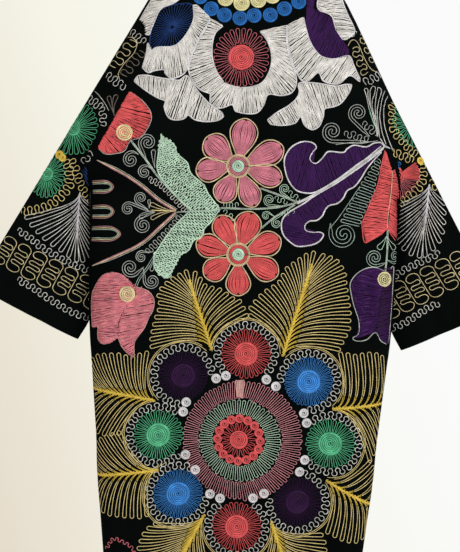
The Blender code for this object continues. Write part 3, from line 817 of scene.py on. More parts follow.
def sew_tendrils(work):
    """The leaves, curls and pairs of lines at the left of the back."""
    work.fill("coral", [-221, -354, -241, -392, -255, -420, -267, -442, -274, -457], [-215, -355, -197, -368,
        -182, -387, -178, -402, -186, -422, -197, -436, -212, -440, -219, -448, -226, -462, -243, -469,
        -261, -469, -272, -462], 2.5)
    work.line("grey", [-220, -354, -197, -368, -181, -387, -178, -404, -186, -423, -196, -437, -212, -442,
        -219, -449, -226, -463, -243, -469, -261, -470, -273, -461], THIN, 0.3)
    work.sew("plum", rays((-227, -429), 17.5, 23.5, 13), THIN, 0.4)
    work.disc("butter", (-227, -429), 15.5)
    work.double([-217, -442, -186, -479, -168, -503], "mint", "silver", 2.0, 1.8)
    work.double([-168, -503, -142, -530, -119, -552, -99, -569], "mint", "sage", 2.0, 1.8)
    work.frond("grey", (-168, -493), (-0.3, 1.0), (-172, -463), 4.0)
    work.curls("grey", (
        ((-184, -479), (-183, -446), 18, -1), ((-199, -469), (-213, -479), 17.5, 1),
        ((-174, -495), (-187, -501), 14.5, 1), ((-178, -570), (-192, -549), 13, -1),
        ((-173, -574), (-215, -570), 13.5, 1), ((-165, -574), (-186, -599), 18, 1),
        ((-170, -649), (-187, -658), 12, 1), ((-182, -676), (-207, -678), 18.5, -1),
        ((-182, -679), (-166, -701), 16, 1),
    ))
    work.double([-164, -654, -177, -677, -191, -697, -199, -717], "sage", "sage", 3.4, NARROW)
    work.frond("grey", (-162, -659), (-0.2, -1.0), (-167, -680), 3.4)
    work.loops("silver", [-179, -513, -152, -527, -127, -551, -107, -572], -5.5, 5.5, 4.8, 0.12, NARROW)
    work.loops("grey", [-116, -578, -139, -609, -163, -634, -176, -649], -6.5, 6.5, 5.0, 0.12, NARROW)
    for line in (
        [-276, -482, -230, -503, -192, -526, -161, -550, -126, -570],
        [-281, -677, -237, -659, -188, -633, -155, -602, -126, -573],
    ):
        line = curve(line)
        upper = 1 if line[0, 1] > line[-1, 1] else -1
        swell = smooth_step(0.25 + 3 * np.linspace(0, 1, len(line)))[:, None]
        for row, colour, width in (
            (-1.7, "mauve", 1.2), (-0.6, "blush", 1.8), (0.5, "cream", 1.6), (2.3, "silver", 1.1),
        ):
            work.sew(colour, line + normals(line) * 1.4 * row * swell * upper, width)
    for (x, z), reach, half in (((-286, -530), 42, 11), ((-285, -576), 44, 11.5), ((-285, -617), 58, 13)):
        for row, colour in enumerate(("mauve", "straw", "sage")):
            inset = 2.7 * row
            loop = [(x, z + half - inset), (x + 0.7 * reach, z + half - inset), (x + reach - inset, z)]
            loop += [(x + 0.7 * reach, z - half + inset), (x, z - half + inset)]
            work.line(colour, loop, 1.8)
    for tip in [(-171, -560), (-169, -585)]:
        work.frond("straw", (-127, -571), (-1.0, 0.0), tip, 3.6)
    work.line("gold", [-127, -571, -173, -571], FINE)
    work.frond("grey", (-165, -574), (-1.0, 0.2), (-190, -583), 4.4)
    work.frond("grey", (-176, -568), (0.0, 1.0), (-177, -554), 2.6)


def sew_left_tulip(work):
    forms = (
        ([-239, -688, -258, -694, -273, -715, -280, -739, -279, -766, -277, -791], [-237, -688, -221, -692,
            -206, -704, -198, -717, -201, -737, -215, -755, -223, -773]),
        ([-277, -792, -270, -788, -265, -793, -265, -801, -263, -815, -253, -821], [-223, -774, -226, -787,
            -226, -805, -229, -811, -240, -818, -252, -821]),
        ([-197, -714, -195, -728, -205, -742, -216, -756, -222, -774, -226, -791, -225, -807, -218, -824,
            -206, -837, -195, -842], [-195, -713, -187, -715, -171, -721, -161, -735, -162, -754, -170, -770,
            -177, -788, -188, -804, -195, -818, -194, -841]),
    )
    for first, second in forms:
        work.fill("rose", first, second, 2.5, streak="blush")
    for line in (
        [-277, -791, -280, -739, -273, -715, -258, -694, -240, -689, -225, -691, -211, -703, -206, -713],
        [-277, -791, -270, -787, -265, -791, -265, -801, -263, -815, -253, -821, -241, -817, -230, -806,
            -225, -809, -218, -824, -206, -837, -195, -842],
        [-197, -714, -187, -715, -171, -721, -161, -735, -162, -754, -170, -770, -177, -788, -188, -804,
            -195, -818, -194, -841],
    ):
        work.line("blush", line, THIN, 0.3)
    work.sew("coral", rays((-211, -727), 16, 22, 15), THIN, 0.4)
    work.disc("butter", (-211, -727), 15)


PURPLE_UPPER = [248, -432, 234, -433, 221, -440, 198, -438, 185, -445, 178, -452, 154, -451, 147, -454,
    139, -465, 129, -474, 121, -472, 117, -464, 122, -453, 128, -444, 120, -436, 102, -435, 84, -444,
    73, -459, 70, -475, 77, -503, 92, -523, 110, -529, 131, -526, 169, -502, 209, -470, 250, -443]
PURPLE_LOWER = [248, -448, 235, -464, 223, -480, 213, -498, 201, -514, 188, -522, 181, -536, 171, -546,
    155, -551, 148, -560, 143, -571, 133, -579, 120, -581, 112, -589, 114, -598, 126, -601, 141, -601,
    147, -606, 139, -618, 124, -625, 101, -628, 88, -622, 74, -609, 69, -594, 71, -578, 83, -565, 108, -549,
    131, -532, 169, -508, 210, -478]


def sew_purple_leaf(work):
    work.fill("purple", [250, -439, 209, -469, 169, -500, 131, -523, 110, -528, 92, -522, 78, -503,
        71, -480], [247, -432, 221, -441, 198, -439, 178, -453, 154, -453, 139, -466, 127, -475, 119, -467,
        127, -446, 120, -437, 102, -436, 85, -446, 74, -460], 2.4)
    work.fill("purple", [247, -449, 210, -479, 169, -509, 131, -534, 109, -550, 84, -566, 72, -579, 70, -594,
        75, -609, 88, -621, 101, -626], [246, -451, 223, -479, 201, -513, 188, -521, 171, -545, 155, -550,
        143, -569, 120, -580, 112, -588, 113, -599, 126, -602, 141, -602, 146, -606, 139, -616, 124, -623,
        103, -627], 2.4)
    work.sew("pale", curve(PURPLE_UPPER, closed=True), 3.0, 0.4)
    work.sew("pale", curve(PURPLE_LOWER, closed=True), 3.0, 0.4)
    vein = curve([250, -440, 210, -474, 169, -506, 131, -530, 96, -549])
    narrowing = np.linspace(1.0, 0.25, len(vein))[:, None]
    for row in (-3.2, 0, 3.2):
        work.sew("pale" if row else "grey", vein + normals(vein) * row * narrowing, 2.8, 0.6 if row else 0.4)
    rows = between([241, -460, 227, -485, 212, -511, 199, -538, 188, -556, 177, -580], [248, -465, 243, -495,
        238, -523, 229, -544, 220, -565, 214, -588], 25, 0.06, turn=0.08)
    work.sew("sage", rows, NARROW)
    work.line("sage", [211, -513, 191, -546, 172, -575, 157, -594], NARROW)
    work.curl("sage", (159, -583), (184, -603), 27, 1, NARROW)
    work.curls("grey", (
        ((226, -421), (203, -378), 19, -1), ((227, -431), (157, -414), 21, -1),
    ), NARROW)
    work.loops("grey", [212, -398, 221, -402, 232, -411, 238, -418], -7, 7, 5.6, width=NARROW)
    work.loops("grey", [179, -419, 193, -419, 208, -424, 223, -427], -6.5, 6.5, 6.0, width=NARROW)
    work.line("grey", [163, -438, 193, -433, 224, -431, 242, -428], NARROW)
    for row, width in ((-0.5, 1.0), (0.4, 1.3)):
        work.sew("green" if row < 0 else "mint", beside(curve([222, -367, 226, -379, 231, -393, 237, -405]),
            row), width)
    work.line("pale", [245, -423, 253, -435, 261, -440, 271, -445], 2.2, 0.3)
    work.line("pale", [246, -430, 253, -438, 261, -441], THIN, 0.3)


def sew_grey_palm(work):
    """The long pale loops that cross the seam of the right sleeve."""
    for line in (
        [222, -367, 219, -353, 215, -339, 213, -335, 215, -332, 218, -332, 220, -336, 220, -345, 223, -359,
            228, -373, 233, -391, 238, -407],
        [239, -418, 235, -397, 230, -379, 225, -362, 224, -348, 224, -336, 227, -329, 230, -327, 233, -329,
            234, -333, 232, -343, 229, -351, 228, -362, 230, -373, 234, -385, 238, -397, 241, -418],
        [240, -418, 238, -403, 236, -385, 234, -367, 235, -350, 237, -338, 239, -329, 242, -327, 246, -329,
            247, -334, 245, -341, 242, -349, 240, -359, 238, -371, 239, -385, 241, -402, 244, -421],
        [254, -333, 250, -342, 247, -353, 244, -371, 243, -382, 245, -396, 249, -414, 256, -433],
        [260, -342, 254, -354, 251, -368, 251, -382, 252, -396, 256, -411, 263, -430, 270, -445],
    ):
        work.line("silver", line, THIN)


def sew_shoulder_clip(work):
    """Winding gold lines that cross the seam at the top of the right sleeve."""
    work.loops("straw", [193, -256, 200, -272, 208, -289, 216, -305], -9.5, 8, 7.8)
    work.loops("straw", [207, -224, 214, -241, 222, -258, 232, -277], -8, 8, 8.6)
    work.line("straw", [181, -253, 185, -245, 192, -241, 199, -245, 205, -257, 211, -271, 219, -285,
        228, -294, 239, -296], THIN)
    work.loops("silver", [213, -322, 223, -317, 234, -309, 245, -301], -8, 8, 6.2)
    work.loops("silver", [178, -238, 188, -231, 198, -224], -4, 4, 6.0)


def sew_right_tulips(work):
    work.fill("coral", [255, -446, 249, -476, 244, -508, 237, -529, 228, -552, 219, -581, 225, -615],
        [259, -455, 270, -486, 269, -514, 269, -543, 267, -574, 267, -588, 245, -606], 2.5)
    work.fill("coral", [269, -483, 271, -507, 271, -527, 270, -566, 268, -590], [275, -481, 283, -508,
        290, -539, 292, -576, 291, -607], 2.5)
    work.line("cream", [270, -483, 271, -522, 267, -566, 266, -590], FINE, 0.4)
    work.line("coral", [255, -445, 249, -476, 244, -508, 237, -529, 228, -552, 218, -580, 218, -591,
        223, -616, 235, -612, 253, -601, 266, -590, 274, -599, 285, -610], FINE, 0.2)
    work.double([266, -591, 266, -631, 263, -669], "mint", "silver", 2.0, THIN)
    work.frond("mint", (265, -603), (-0.4, -1.0), (252, -624), 5.2)
    work.frond("mint", (266, -603), (0.4, -1.0), (281, -623), 5.2)
    work.curl("sage", (267, -652), (243, -644), 18, -1)
    work.curl("sage", (266, -647), (284, -640), 14, 1)
    middle = [258, -664, 260, -696, 255, -730, 252, -756, 248, -782]
    # Painted sheen: sparse lighter violet rows streak the left lobe.
    work.fill("purple", [242, -663, 217, -672, 202, -693, 206, -724, 215, -752, 219, -773, 211, -794],
        middle, 2.5, streak="sheen_violet")
    # Painted shade: the right lobe, where the side turns away, is filled in the darker plum.
    work.fill("plum", middle, [281, -662, 281, -690, 281, -719, 280, -747, 279, -773], 2.5)
    work.fill("purple", [250, -780, 254, -790, 273, -804], [279, -773, 279, -789, 278, -803], 2.5)
    for line in (
        [262, -668, 242, -662, 224, -666, 209, -677, 200, -693, 202, -711, 208, -734, 216, -755, 219, -770,
            218, -786, 208, -794, 216, -799, 234, -796, 249, -782, 260, -797, 273, -804],
        [278, -802, 280, -760, 281, -721, 282, -683, 282, -659, 273, -665],
    ):
        work.line("grey", line, FINE, 0.3)
    work.disc("butter", (263, -683), 14.5)


MEDALLION = (4, -990)
MINT_RING = (6, -991)
PINK_RING = (11, -991)
# The angle between a looped ring's end and the small disc beside it
RING_GAP = 0.12
# Centre, colour, and the two small white discs where its looped ring ends
MEDALLION_FLOWERS = (
    ((12, -830), "coral", (-24, -872), (51, -876)), ((130, -878), "blue", (69, -888), (123, -937)),
    ((174, -992), "green", (129, -955), (128, -1024)), ((117, -1102), "plum", (119, -1046), (54, -1087)),
    ((6, -1152), "coral", (34, -1097), (-27, -1101)), ((-105, -1095), "blue", (-46, -1094), (-75, -1050)),
    ((-145, -985), "green", (-94, -1022), (-101, -942)), ((-103, -875), "plum", (-96, -924), (-42, -878)),
)


def sew_medallion(work):
    """The great wheel: beads and looped rings about a coil, and eight flowers round it."""
    work.disc("coral", MEDALLION, 17, 0.0)
    work.sew("coral", rays(MEDALLION, 18, 31, 19, bulb=-0.1), NARROW)
    beads = 16
    for k in range(beads):
        work.disc("coral", polar(MEDALLION, 39.5, 2 * math.pi * k / beads), 8.2, 0.0)
    rings = (
        ("mint", MEDALLION, 48.5, MINT_RING, 75.5, 96), ("pinkline", MINT_RING, 77.5, PINK_RING, 110.7, 146),
    )
    for colour, inner_centre, inner, outer_centre, outer, strands in rings:
        loops = between(circle(inner_centre, inner), circle(outer_centre, outer), strands, 0.06, 0.03, 0.06)
        work.sew(colour, loops, 1.3)
    work.sew("blush", rays(MINT_RING, 79, 112, 4, math.radians(88), math.radians(9)), 2.0, 0.3)
    for centre, colour, first, last in MEDALLION_FLOWERS:
        rim = 45.5
        dense = colour in ("blue", "plum")
        work.disc(colour, centre, 21.5, 0.0)
        work.sew(colour, rays(centre, 20, rim, 37 if dense else 28), 1.2 if dense else NARROW)
        ends = []
        for bead in (first, last):
            work.disc("pale", bead, 9.0)
            away = np.array(bead) - np.array(centre)
            ends.append(math.atan2(away[1], away[0]))
        inward = math.atan2(*(np.array(MEDALLION) - np.array(centre))[::-1])
        gaps = [(end - inward + math.pi) % (2 * math.pi) - math.pi for end in ends]
        start = inward + max(gaps) + RING_GAP
        sweep = 2 * math.pi - (max(gaps) - min(gaps)) - 2 * RING_GAP
        ring = spaced(polar(centre, 54, start + np.linspace(0, sweep, 90)), 1.0)
        work.sew("silver", meander(ring, -6, 8, 7.2, bulb=0.16), THIN)
        for radius, lead in ((63, 0.5), (65.8, 0.62)):
            arc = start + sweep * np.linspace(lead / 3, 1 - lead / 3, 60)
            work.sew("gold", spaced(polar(centre, radius, arc)), NARROW)


# A palm's base and top, and the lines that the tips of its left and right loops follow, from low to high
PALMS = (
    ((-52, -825), (-98, -697), [-162, -822, -163, -809, -158, -777, -149, -746, -153, -731, -148, -715,
        -135, -701, -122, -692, -104, -682], [11, -759, 3, -744, -6, -730, -19, -728, -30, -719,
        -41, -713, -51, -710, -64, -710, -76, -696, -87, -684]),
    ((80, -832), (128, -660), [17, -759, 17, -746, 27, -731, 39, -718, 53, -707, 66, -699, 74, -684,
        84, -667, 99, -657, 112, -646, 130, -639], [183, -816, 192, -796, 200, -777, 200, -759, 200, -742,
        196, -725, 195, -712, 191, -700, 190, -684, 186, -670, 172, -651, 148, -643]),
    ((-154, -921), (-274, -906), [-219, -986, -232, -988, -247, -990, -260, -989, -273, -980, -283, -964,
        -291, -942], [-171, -834, -186, -839, -202, -845, -217, -840, -232, -840, -247, -841, -261, -843,
        -276, -853, -286, -868, -293, -889]),
    ((176, -927), (273, -916), [187, -824, 202, -825, 215, -827, 228, -824, 241, -822, 254, -823, 265, -828],
        [251, -1023, 260, -1008, 265, -991, 268, -972, 271, -954]),
    ((-143, -1050), (-261, -1069), [-161, -1133, -175, -1138, -192, -1138, -208, -1139, -225, -1138,
        -240, -1138, -253, -1129, -265, -1115], [-218, -984, -234, -990, -250, -998, -265, -1010,
        -275, -1025, -282, -1043]),
    ((-55, -1133), (-100, -1226), [-46, -1231, -58, -1254, -76, -1269, -98, -1277], [-145, -1150,
        -160, -1161, -168, -1176, -173, -1193, -176, -1210, -176, -1228, -169, -1250, -150, -1272,
        -124, -1282]),
    ((69, -1138), (101, -1226), [164, -1163, 170, -1177, 172, -1192, 173, -1209, 166, -1231, 149, -1257,
        127, -1277], [55, -1231, 64, -1257, 83, -1275]),
    ((169, -1061), (258, -1108), [250, -1025, 259, -1039, 267, -1057, 272, -1076], [175, -1157, 192, -1164,
        208, -1170, 225, -1174, 240, -1171, 252, -1158]),
)


def sew_palms(work):
    for base, top, left, right in PALMS:
        work.palm(base, top, left, right)


def sew_hem(work):
    """Below the photograph's edge: the same looped bands as at the cuffs."""
    hem_bands(work, -246, 246)
    work.loops("maroon", [-237, -1206, -223, -1184, -205, -1187, -186, -1197, -178, -1217], -3, 3, 5, 0.08,
        FINE)
    for x in (-215, -160, 160, 215):
        work.rosette("coral", (x, -1246), 11, 25, 20, "maroon")


def hem_bands(work, first, last):
    """Two looped silver lines round a row of winding gold ones, above the hem."""
    for z in (-1280, -1338):
        work.loops("silver", [(first, z), ((first + last) / 2, z - 2), (last, z)], -5, 5, 5.8, 0.08)
    count = int((last - first) / 27)
    clip_row(work, ((first + last) / 2, -1309), (27, 0), (4, 20), -count // 2 + 1, count // 2)


# A winding line's unit: shares of the step along the row, and of half its height
CLIP = (
    (-0.5, 0.45), (-0.5, -0.55), (-0.46, -0.82), (-0.3, -0.98), (-0.04, -1.03), (0.2, -0.97), (0.36, -0.78),
    (0.26, -0.56), (0.0, -0.5), (-0.24, -0.5), (-0.33, -0.38), (-0.24, -0.24), (0.06, -0.26), (0.32, -0.3),
    (0.41, -0.16), (0.28, -0.03), (0.0, -0.01), (-0.24, 0.0), (-0.32, 0.12), (-0.22, 0.25), (0.06, 0.24),
    (0.32, 0.22), (0.42, 0.36), (0.3, 0.52), (0.02, 0.5), (-0.22, 0.53), (-0.33, 0.74), (-0.2, 0.96),
    (0.06, 1.03), (0.34, 0.96), (0.5, 0.76),
)


def clip_row(work, centre, step, up, first, last):
    """A row of winding lines, each joined to the next by a long plain leg."""
    points = []
    for k in range(first, last + 1):
        points += [np.array(centre) + np.array(step) * (s + k) + np.array(up) * t for s, t in CLIP]
    work.sew("straw", curve(points, step=1.8), THIN)


def sew_cuff(work, upper, lower, *row):
    """Two looped silver lines round a row of winding gold ones, at a cuff."""
    for line in (upper, lower):
        work.loops("silver", line, -6.5, 6.5, 6.4)
    clip_row(work, *row)


def sew_left_seam(work):
    """Winding lines that cross the seam of the left sleeve."""
    work.loops("silver", [-225, -239, -216, -243, -208, -252, -196, -261], -8, 8, 6.6)
    work.loops("drab", [-200, -278, -211, -294, -221, -308, -231, -324], -11, 10, 8.6, 0.1)
    work.line("straw", [-228, -247, -221, -249, -214, -255, -210, -264, -214, -279, -222, -289, -231, -298,
        -239, -310, -243, -320, -240, -330], THIN)
    work.loops("silver", [-266, -320, -255, -327, -242, -338, -228, -345], -8, 8, 6.6)
    work.loops("silver", [-273, -384, -267, -403, -268, -418], -7, 7, 6.4)
    work.loops("silver", [-306, -485, -297, -479, -285, -470], -8, 8, 6.4)
    for tip in [(-258, -366), (-245, -364)]:
        work.frond("drab", (-247, -397), (-0.35, 1.0), tip, 4.0, THIN)


def sew_left_sleeve(work):
    work.loops("straw", [-219, -255, -229, -270, -241, -287, -254, -305], -12.5, 12, 9.2, 0.1)
    work.line("silver", [-289, -349, -277, -361, -264, -378, -257, -390], NARROW)
    work.loops("silver", [-302, -363, -287, -372, -273, -384], -8, 8, 6.6)
    rosettes = (((-326, -420), 13, 49, 26, 1.04), ((-375, -507), 12, 36, 24, 1.25))
    for centre, core, rim, loops, squash in rosettes:
        work.sew("green", coil(centre, core), 2.8)
        work.sew("green", rays(centre, core, rim, loops, bulb=0.2, squash=squash), NARROW)
    work.disc("yellow", (-352, -470), 8.5)
    work.disc("yellow", (-345, -476), 7.5)
    work.loops("gold", [-340, -482, -333, -494, -330, -511, -331, -526, -339, -541, -351, -553, -367, -565,
        -384, -573, -403, -577, -422, -579], -8.5, 8.5, 6.8)
    work.loops("gold", [-328, -480, -321, -493, -316, -508, -310, -524, -301, -539, -290, -554, -282, -569],
        -8, 8, 6.8)
    for row in (-5, -1.5, 2, 5.5):
        work.sew("navy", beside(curve([-305, -495, -296, -510, -287, -530]), row), FINE)
    work.palm((-312, -539), (-316, -625), [-280, -570, -280, -590, -280, -615, -282, -636, -285, -653,
        -292, -668, -304, -667], [-410, -590, -403, -600, -393, -611, -380, -623, -367, -635, -352, -644,
        -337, -655, -325, -662, -315, -667], "pale", "silver", 18.5, 3.9, 0.26, 1.6)
    upper = [-426, -614, -400, -630, -375, -648, -337, -669, -284, -690]
    lower = [-422, -707, -393, -723, -363, -743, -321, -766, -279, -781]
    sew_cuff(work, upper, lower, (-364, -694), (28.9, -13.5), (11.9, 24.7), -3, 3)


def sew_right_sleeve(work):
    work.loops("gold", [272, -352, 269, -368, 269, -384, 270, -399, 278, -413, 290, -425, 303, -436,
        319, -448], -8.5, 8.5, 6.8)
    work.loops("gold", [265, -450, 283, -450, 299, -455, 312, -460], -8, 8, 6.6)
    work.loops("gold", [330, -465, 334, -478, 333, -494, 326, -507, 315, -519, 301, -530, 291, -541], -8.5,
        8.5, 6.6)
    work.loops("gold", [347, -495, 355, -501, 362, -510], -7, 7, 6.4)
    work.rosette("green", (318, -384), 13, 48, 26, bulb=0.2)
    work.disc("yellow", (328, -458), 7.5)
    for row in (-5, -2, 1, 4):
        work.sew("navy", beside(curve([276, -482, 280, -472, 284, -465]), row), FINE)
    work.frond("blue", (281, -482), (0.1, 1.0), (285, -467), 3.2)
    centre = (281, -491)
    work.disc("coral", centre, 15, 0.0)
    work.sew("coral", rays(centre, 12, 46, 6, math.radians(-4), math.radians(46), bulb=0.0), FINE)
    work.sew("maroon", rays(centre, 12, 43, 7, math.radians(-86), math.radians(82)), NARROW)
    work.palm((346, -501), (339, -594), [377, -536, 377, -558, 376, -579, 372, -599, 364, -616, 353, -628,
        345, -635], [278, -549, 278, -564, 281, -580, 286, -596, 292, -609, 301, -619, 312, -629, 324, -635,
        335, -637], "pale", "silver", 17.0, 3.9, 0.26, 1.6)
    upper = [286, -682, 309, -663, 338, -648, 370, -630]
    lower = [283, -780, 309, -767, 341, -744, 373, -724]
    sew_cuff(work, upper, lower, (307, -714), (26.0, 14.8), (-15.9, 25.0), -2, 4)


# The fronts don't show in the photograph. They carry the same kinds of motif, and one mirrors the other.
FRONT_PETALS = (
    (88, 70, 20), (37, 68, 19.5), (-14, 66, 19), (-66, 68, 19.5), (-117, 66, 19), (-168, 68, 19.5),
    (141, 68, 19.5),
)


def even_palm(work, base, top, half):
    """A palm whose loops open evenly on both sides of its stem."""
    base, top = np.array(base, float), np.array(top, float)
    run = top - base
    aside = np.array([-run[1], run[0]]) / math.hypot(*run) * half
    edges = []
    for side in (1, -1):
        shares = ((0.06, 0.72), (0.3, 1.0), (0.6, 0.96), (0.85, 0.72), (1.02, 0.4), (1.12, 0.1))
        edges.append([base + run * up + aside * side * out for up, out in shares])
    work.palm(base, top, *edges, pitch=14.5, width=3.4, bend=0.36)


def sew_front(work):
    """The wearer's right front, from its edge at the centre to its side."""
    edge = curve([94, -108, 66, -150, 38, -196, 16, -252, 17, -400, 18, -700, 25, -1000, 30, -1268])
    work.sew("silver", meander(beside(edge, 9), -4.5, 4.5, 5.8), 1.9)
    neck = curve([94, -108, 66, -150, 38, -196, 16, -252])
    # The neck discs alternate butter and a darker blue, painted shade where the neck curves away.
    for k, centre in enumerate(spaced(beside(neck, 31), 28)):
        work.disc("butter" if k % 2 else "shaded_blue", centre, 13, 0.0)
    centre_line = curve([44, -290, 45, -700, 52, -1000, 56, -1262])
    work.sew("gold", meander(centre_line, -8, 8, 6.4, bulb=0.1), 1.9)
    for side in (-11.5, 11.5):
        work.sew("gold", beside(centre_line, side), THIN)
    work.flower((126, -294), FRONT_PETALS, "coral")
    wheel = (168, -655)
    even_palm(work, (162, -494), (152, -384), 42)
    work.sew("mint", [(168, -540), (162, -494)], BROAD)
    for way in (-1, 1):
        work.curl("mint", (163, -506), (163 + 64 * way, -478), 17, -way)
        work.curl("sage", (166, -530), (166 + 66 * way, -534), 15, way)
    work.disc("coral", wheel, 13, 0.0)
    work.sew("coral", rays(wheel, 14, 24, 15), NARROW)
    for k in range(12):
        work.disc("coral", polar(wheel, 28, math.pi * k / 6), 7, 0.0)
    work.sew("mint", rays(wheel, 36, 51, 40), NARROW)
    work.sew("pinkline", rays(wheel, 52, 70, 52), NARROW)
    for k, colour in enumerate(("blue", "plum", "green", "blue", "plum", "green")):
        centre = polar(wheel, 92, math.pi * (k / 3 + 1 / 6))
        work.rosette(colour, centre, 9, 19, 20)
        work.sew("silver", circle(centre, 22), 1.9)
    even_palm(work, (122, -752), (97, -842), 27)
    even_palm(work, (214, -752), (235, -842), 27)
    work.flower((158, -930), FRONT_PETALS, "pink")
    for side, colour in ((-1, "coral"), (1, "purple")):
        x = 160 + 52 * side
        top = [(x, -1016), (x - 22, -1030), (x - 27, -1062), (x - 15, -1092), (x - 24, -1122)]
        low = [(x, -1016), (x + 22, -1030), (x + 27, -1062), (x + 15, -1092), (x + 24, -1122)]
        work.fill(colour, top, low, 2.5, "grey")
        work.disc("butter", (x, -1036), 11)
    even_palm(work, (160, -1046), (156, -1226), 27)
    work.rosette("green", (101, -1176), 11, 27, 26)
    work.rosette("blue", (209, -1176), 10, 23, 24)
    hem_bands(work, 14, 246)


def mirrored(work):
    """The same work for the other front."""
    other = Work()
    other.lines = [(colour, width, over, line * (-1, 1)) for colour, width, over, line in work.lines]
    return other


# Colours as they look, from 0 to 1
COLOURS = {
    "white": (0.95, 0.94, 0.925),
    "pale": (0.92, 0.91, 0.93),
    "silver": (0.80, 0.80, 0.78),
    "grey": (0.68, 0.70, 0.68),
    "sage": (0.62, 0.70, 0.66),
    "mint": (0.81, 0.94, 0.84),
    "green": (0.34, 0.71, 0.53),
    "blue": (0.26, 0.57, 0.90),
    # shaded_blue: the blue painted darker, as painted shade where the neck curves away
    "shaded_blue": (0.12, 0.38, 0.66),
    "navy": (0.08, 0.20, 0.42),
    "purple": (0.19, 0.03, 0.28),
    "plum": (0.17, 0.03, 0.22),
    # sheen_violet: the lighter rows of painted sheen on the purple tulip
    "sheen_violet": (0.38, 0.20, 0.46),
    "coral": (0.93, 0.38, 0.39),
    "maroon": (0.74, 0.40, 0.44),
    "pink": (0.79, 0.47, 0.54),
    "pinkline": (0.94, 0.64, 0.68),
    "rose": (0.85, 0.49, 0.54),
    "blush": (0.85, 0.66, 0.64),
    "mauve": (0.66, 0.48, 0.52),
    "cream": (0.90, 0.80, 0.64),
    "butter": (0.96, 0.93, 0.70),
    "straw": (0.84, 0.78, 0.60),
    "drab": (0.46, 0.42, 0.38),
    "gold": (1.00, 0.91, 0.62),
    "yellow": (1.00, 0.86, 0.36),
}

# A stitch's length in millimetres, how many lengths it slants over a thread's width, and how full it looks
STITCH_LENGTH = 3.2
STITCH_SLANT = 1.6
STITCH_FULLNESS = 0.6
# Painted shade: how much darker a thread's colour is painted towards its edges, where it rounds away from the
# light
EDGE_SHADE = -2.2
# Silk's colour on its bright crests and in the painted shade of its dips, as parts of its mean colour, and
# the most light that it gives back
LIFT = 1.55
DIP = 0.28
BRIGHTEST = 0.95
WEAVE_STEP = 0.0011
BLACKS = ((0.0009, 0.0014, 0.0013), (0.0020, 0.0030, 0.0029))
BEECH = ((0.30, 0.16, 0.07), (0.55, 0.34, 0.17))
STEEL = (0.60, 0.60, 0.59, 1)
FLOOR = ((0.70, 0.68, 0.65), (0.78, 0.76, 0.73))


def linear(colour):
    """The light of a colour as it looks."""
    return [c / 12.92 if c <= 0.04045 else ((c + 0.055) / 1.055) ** 2.4 for c in colour]


def tree(owner):
    """Functions for a material or a world: they add a node or a sum, mix two colours, and feed its shader."""
    owner.use_nodes = True
    nodes, links = owner.node_tree.nodes, owner.node_tree.links
    shader = nodes.get("Principled BSDF") or nodes["Background"]

    def feed(inputs, to=shader):
        for key, value in inputs.items():
            if isinstance(value, bpy.types.NodeSocket):
                links.new(value, to.inputs[key])
            else:
                to.inputs[key].default_value = value

    def node(kind, inputs=(), output=0, **settings):
        made = nodes.new(f"ShaderNode{kind}")
        for key, value in settings.items():
            setattr(made, key, value)
        feed(dict(inputs), made)
        return made.outputs[output]

    def maths(operation, *values):
        return node("Math", enumerate(values), operation=operation)

    def mix(factor, first, second):
        colours = {"Factor": factor, "A": (*first, 1), "B": (*second, 1)}
        return node("Mix", colours, "Result", data_type="RGBA")

    return node, maths, mix, feed


def spread(node, value, *ends):
    """A value from between the first two numbers, taken to between the last two."""
    return node("MapRange", {0: value, **dict(enumerate(ends, 1))})


def thread_material(name, colour):
    """Silk in chain stitch: a stitch every few millimetres, with painted shade where two meet and towards its
    edges.
    """
    material = bpy.data.materials.new(name)
    node, maths, mix, feed = tree(material)
    light = linear(colour)
    uv = node("TexCoord", output="UV")
    place = node("TexCoord", output="Object")
    aside = maths("ABSOLUTE", maths("SUBTRACT", node("SeparateXYZ", {0: uv}, 1), 0.5))
    slant = maths("MULTIPLY_ADD", aside, STITCH_SLANT, node("SeparateXYZ", {0: uv}))
    wave = maths("ABSOLUTE", maths("SINE", maths("MULTIPLY", slant, math.pi)))
    stitch = maths("POWER", wave, STITCH_FULLNESS)
    edge = maths("MULTIPLY_ADD", maths("MULTIPLY", aside, aside), EDGE_SHADE, 1.0)
    runs = spread(node, node("TexNoise", {"Vector": uv, "Scale": 0.17, "Detail": 1.0}), 0.32, 0.68, 0.4, 1.0)
    patches = node("TexNoise", {"Vector": place, "Scale": 70.0, "Detail": 3.0})
    fibres = node("TexNoise", {"Vector": place, "Scale": 900.0, "Detail": 2.0})
    shade = spread(node, patches, 0.3, 0.7, 0.5, 1.0)
    # Painted shade: the dips between stitches and the thread's edges darken its colour.
    for part in (stitch, edge, runs):
        shade = maths("MULTIPLY", shade, part)
    lift = min(LIFT, BRIGHTEST / max(light))
    height = maths("MULTIPLY_ADD", fibres, 0.25, stitch)
    bump = node("Bump", {"Height": height, "Strength": 0.6, "Distance": 0.0006})
    base = mix(shade, [DIP * c for c in light], [lift * c for c in light])
    feed({"Base Color": base, "Normal": bump, "Roughness": 0.55, "Specular IOR Level": 0.12})
    return material


def cloth_material():
    """Plain dull black cotton with a fine weave."""
    material = bpy.data.materials.new("black_cotton")
    node, maths, mix, feed = tree(material)
    place = node("TexCoord", output="Object")
    weave = []
    for axis in (0, 2):
        turn = maths("MULTIPLY", node("SeparateXYZ", {0: place}, axis), 2 * math.pi / WEAVE_STEP)
        weave.append(maths("SINE", turn))
    base = mix(node("TexNoise", {"Vector": place, "Scale": 9.0, "Detail": 5.0}), *BLACKS)
    bump = node("Bump", {"Height": maths("MULTIPLY", *weave), "Strength": 0.25, "Distance": 0.0002})
    feed({"Base Color": base, "Normal": bump, "Roughness": 0.8, "Specular IOR Level": 0.005})
    return material


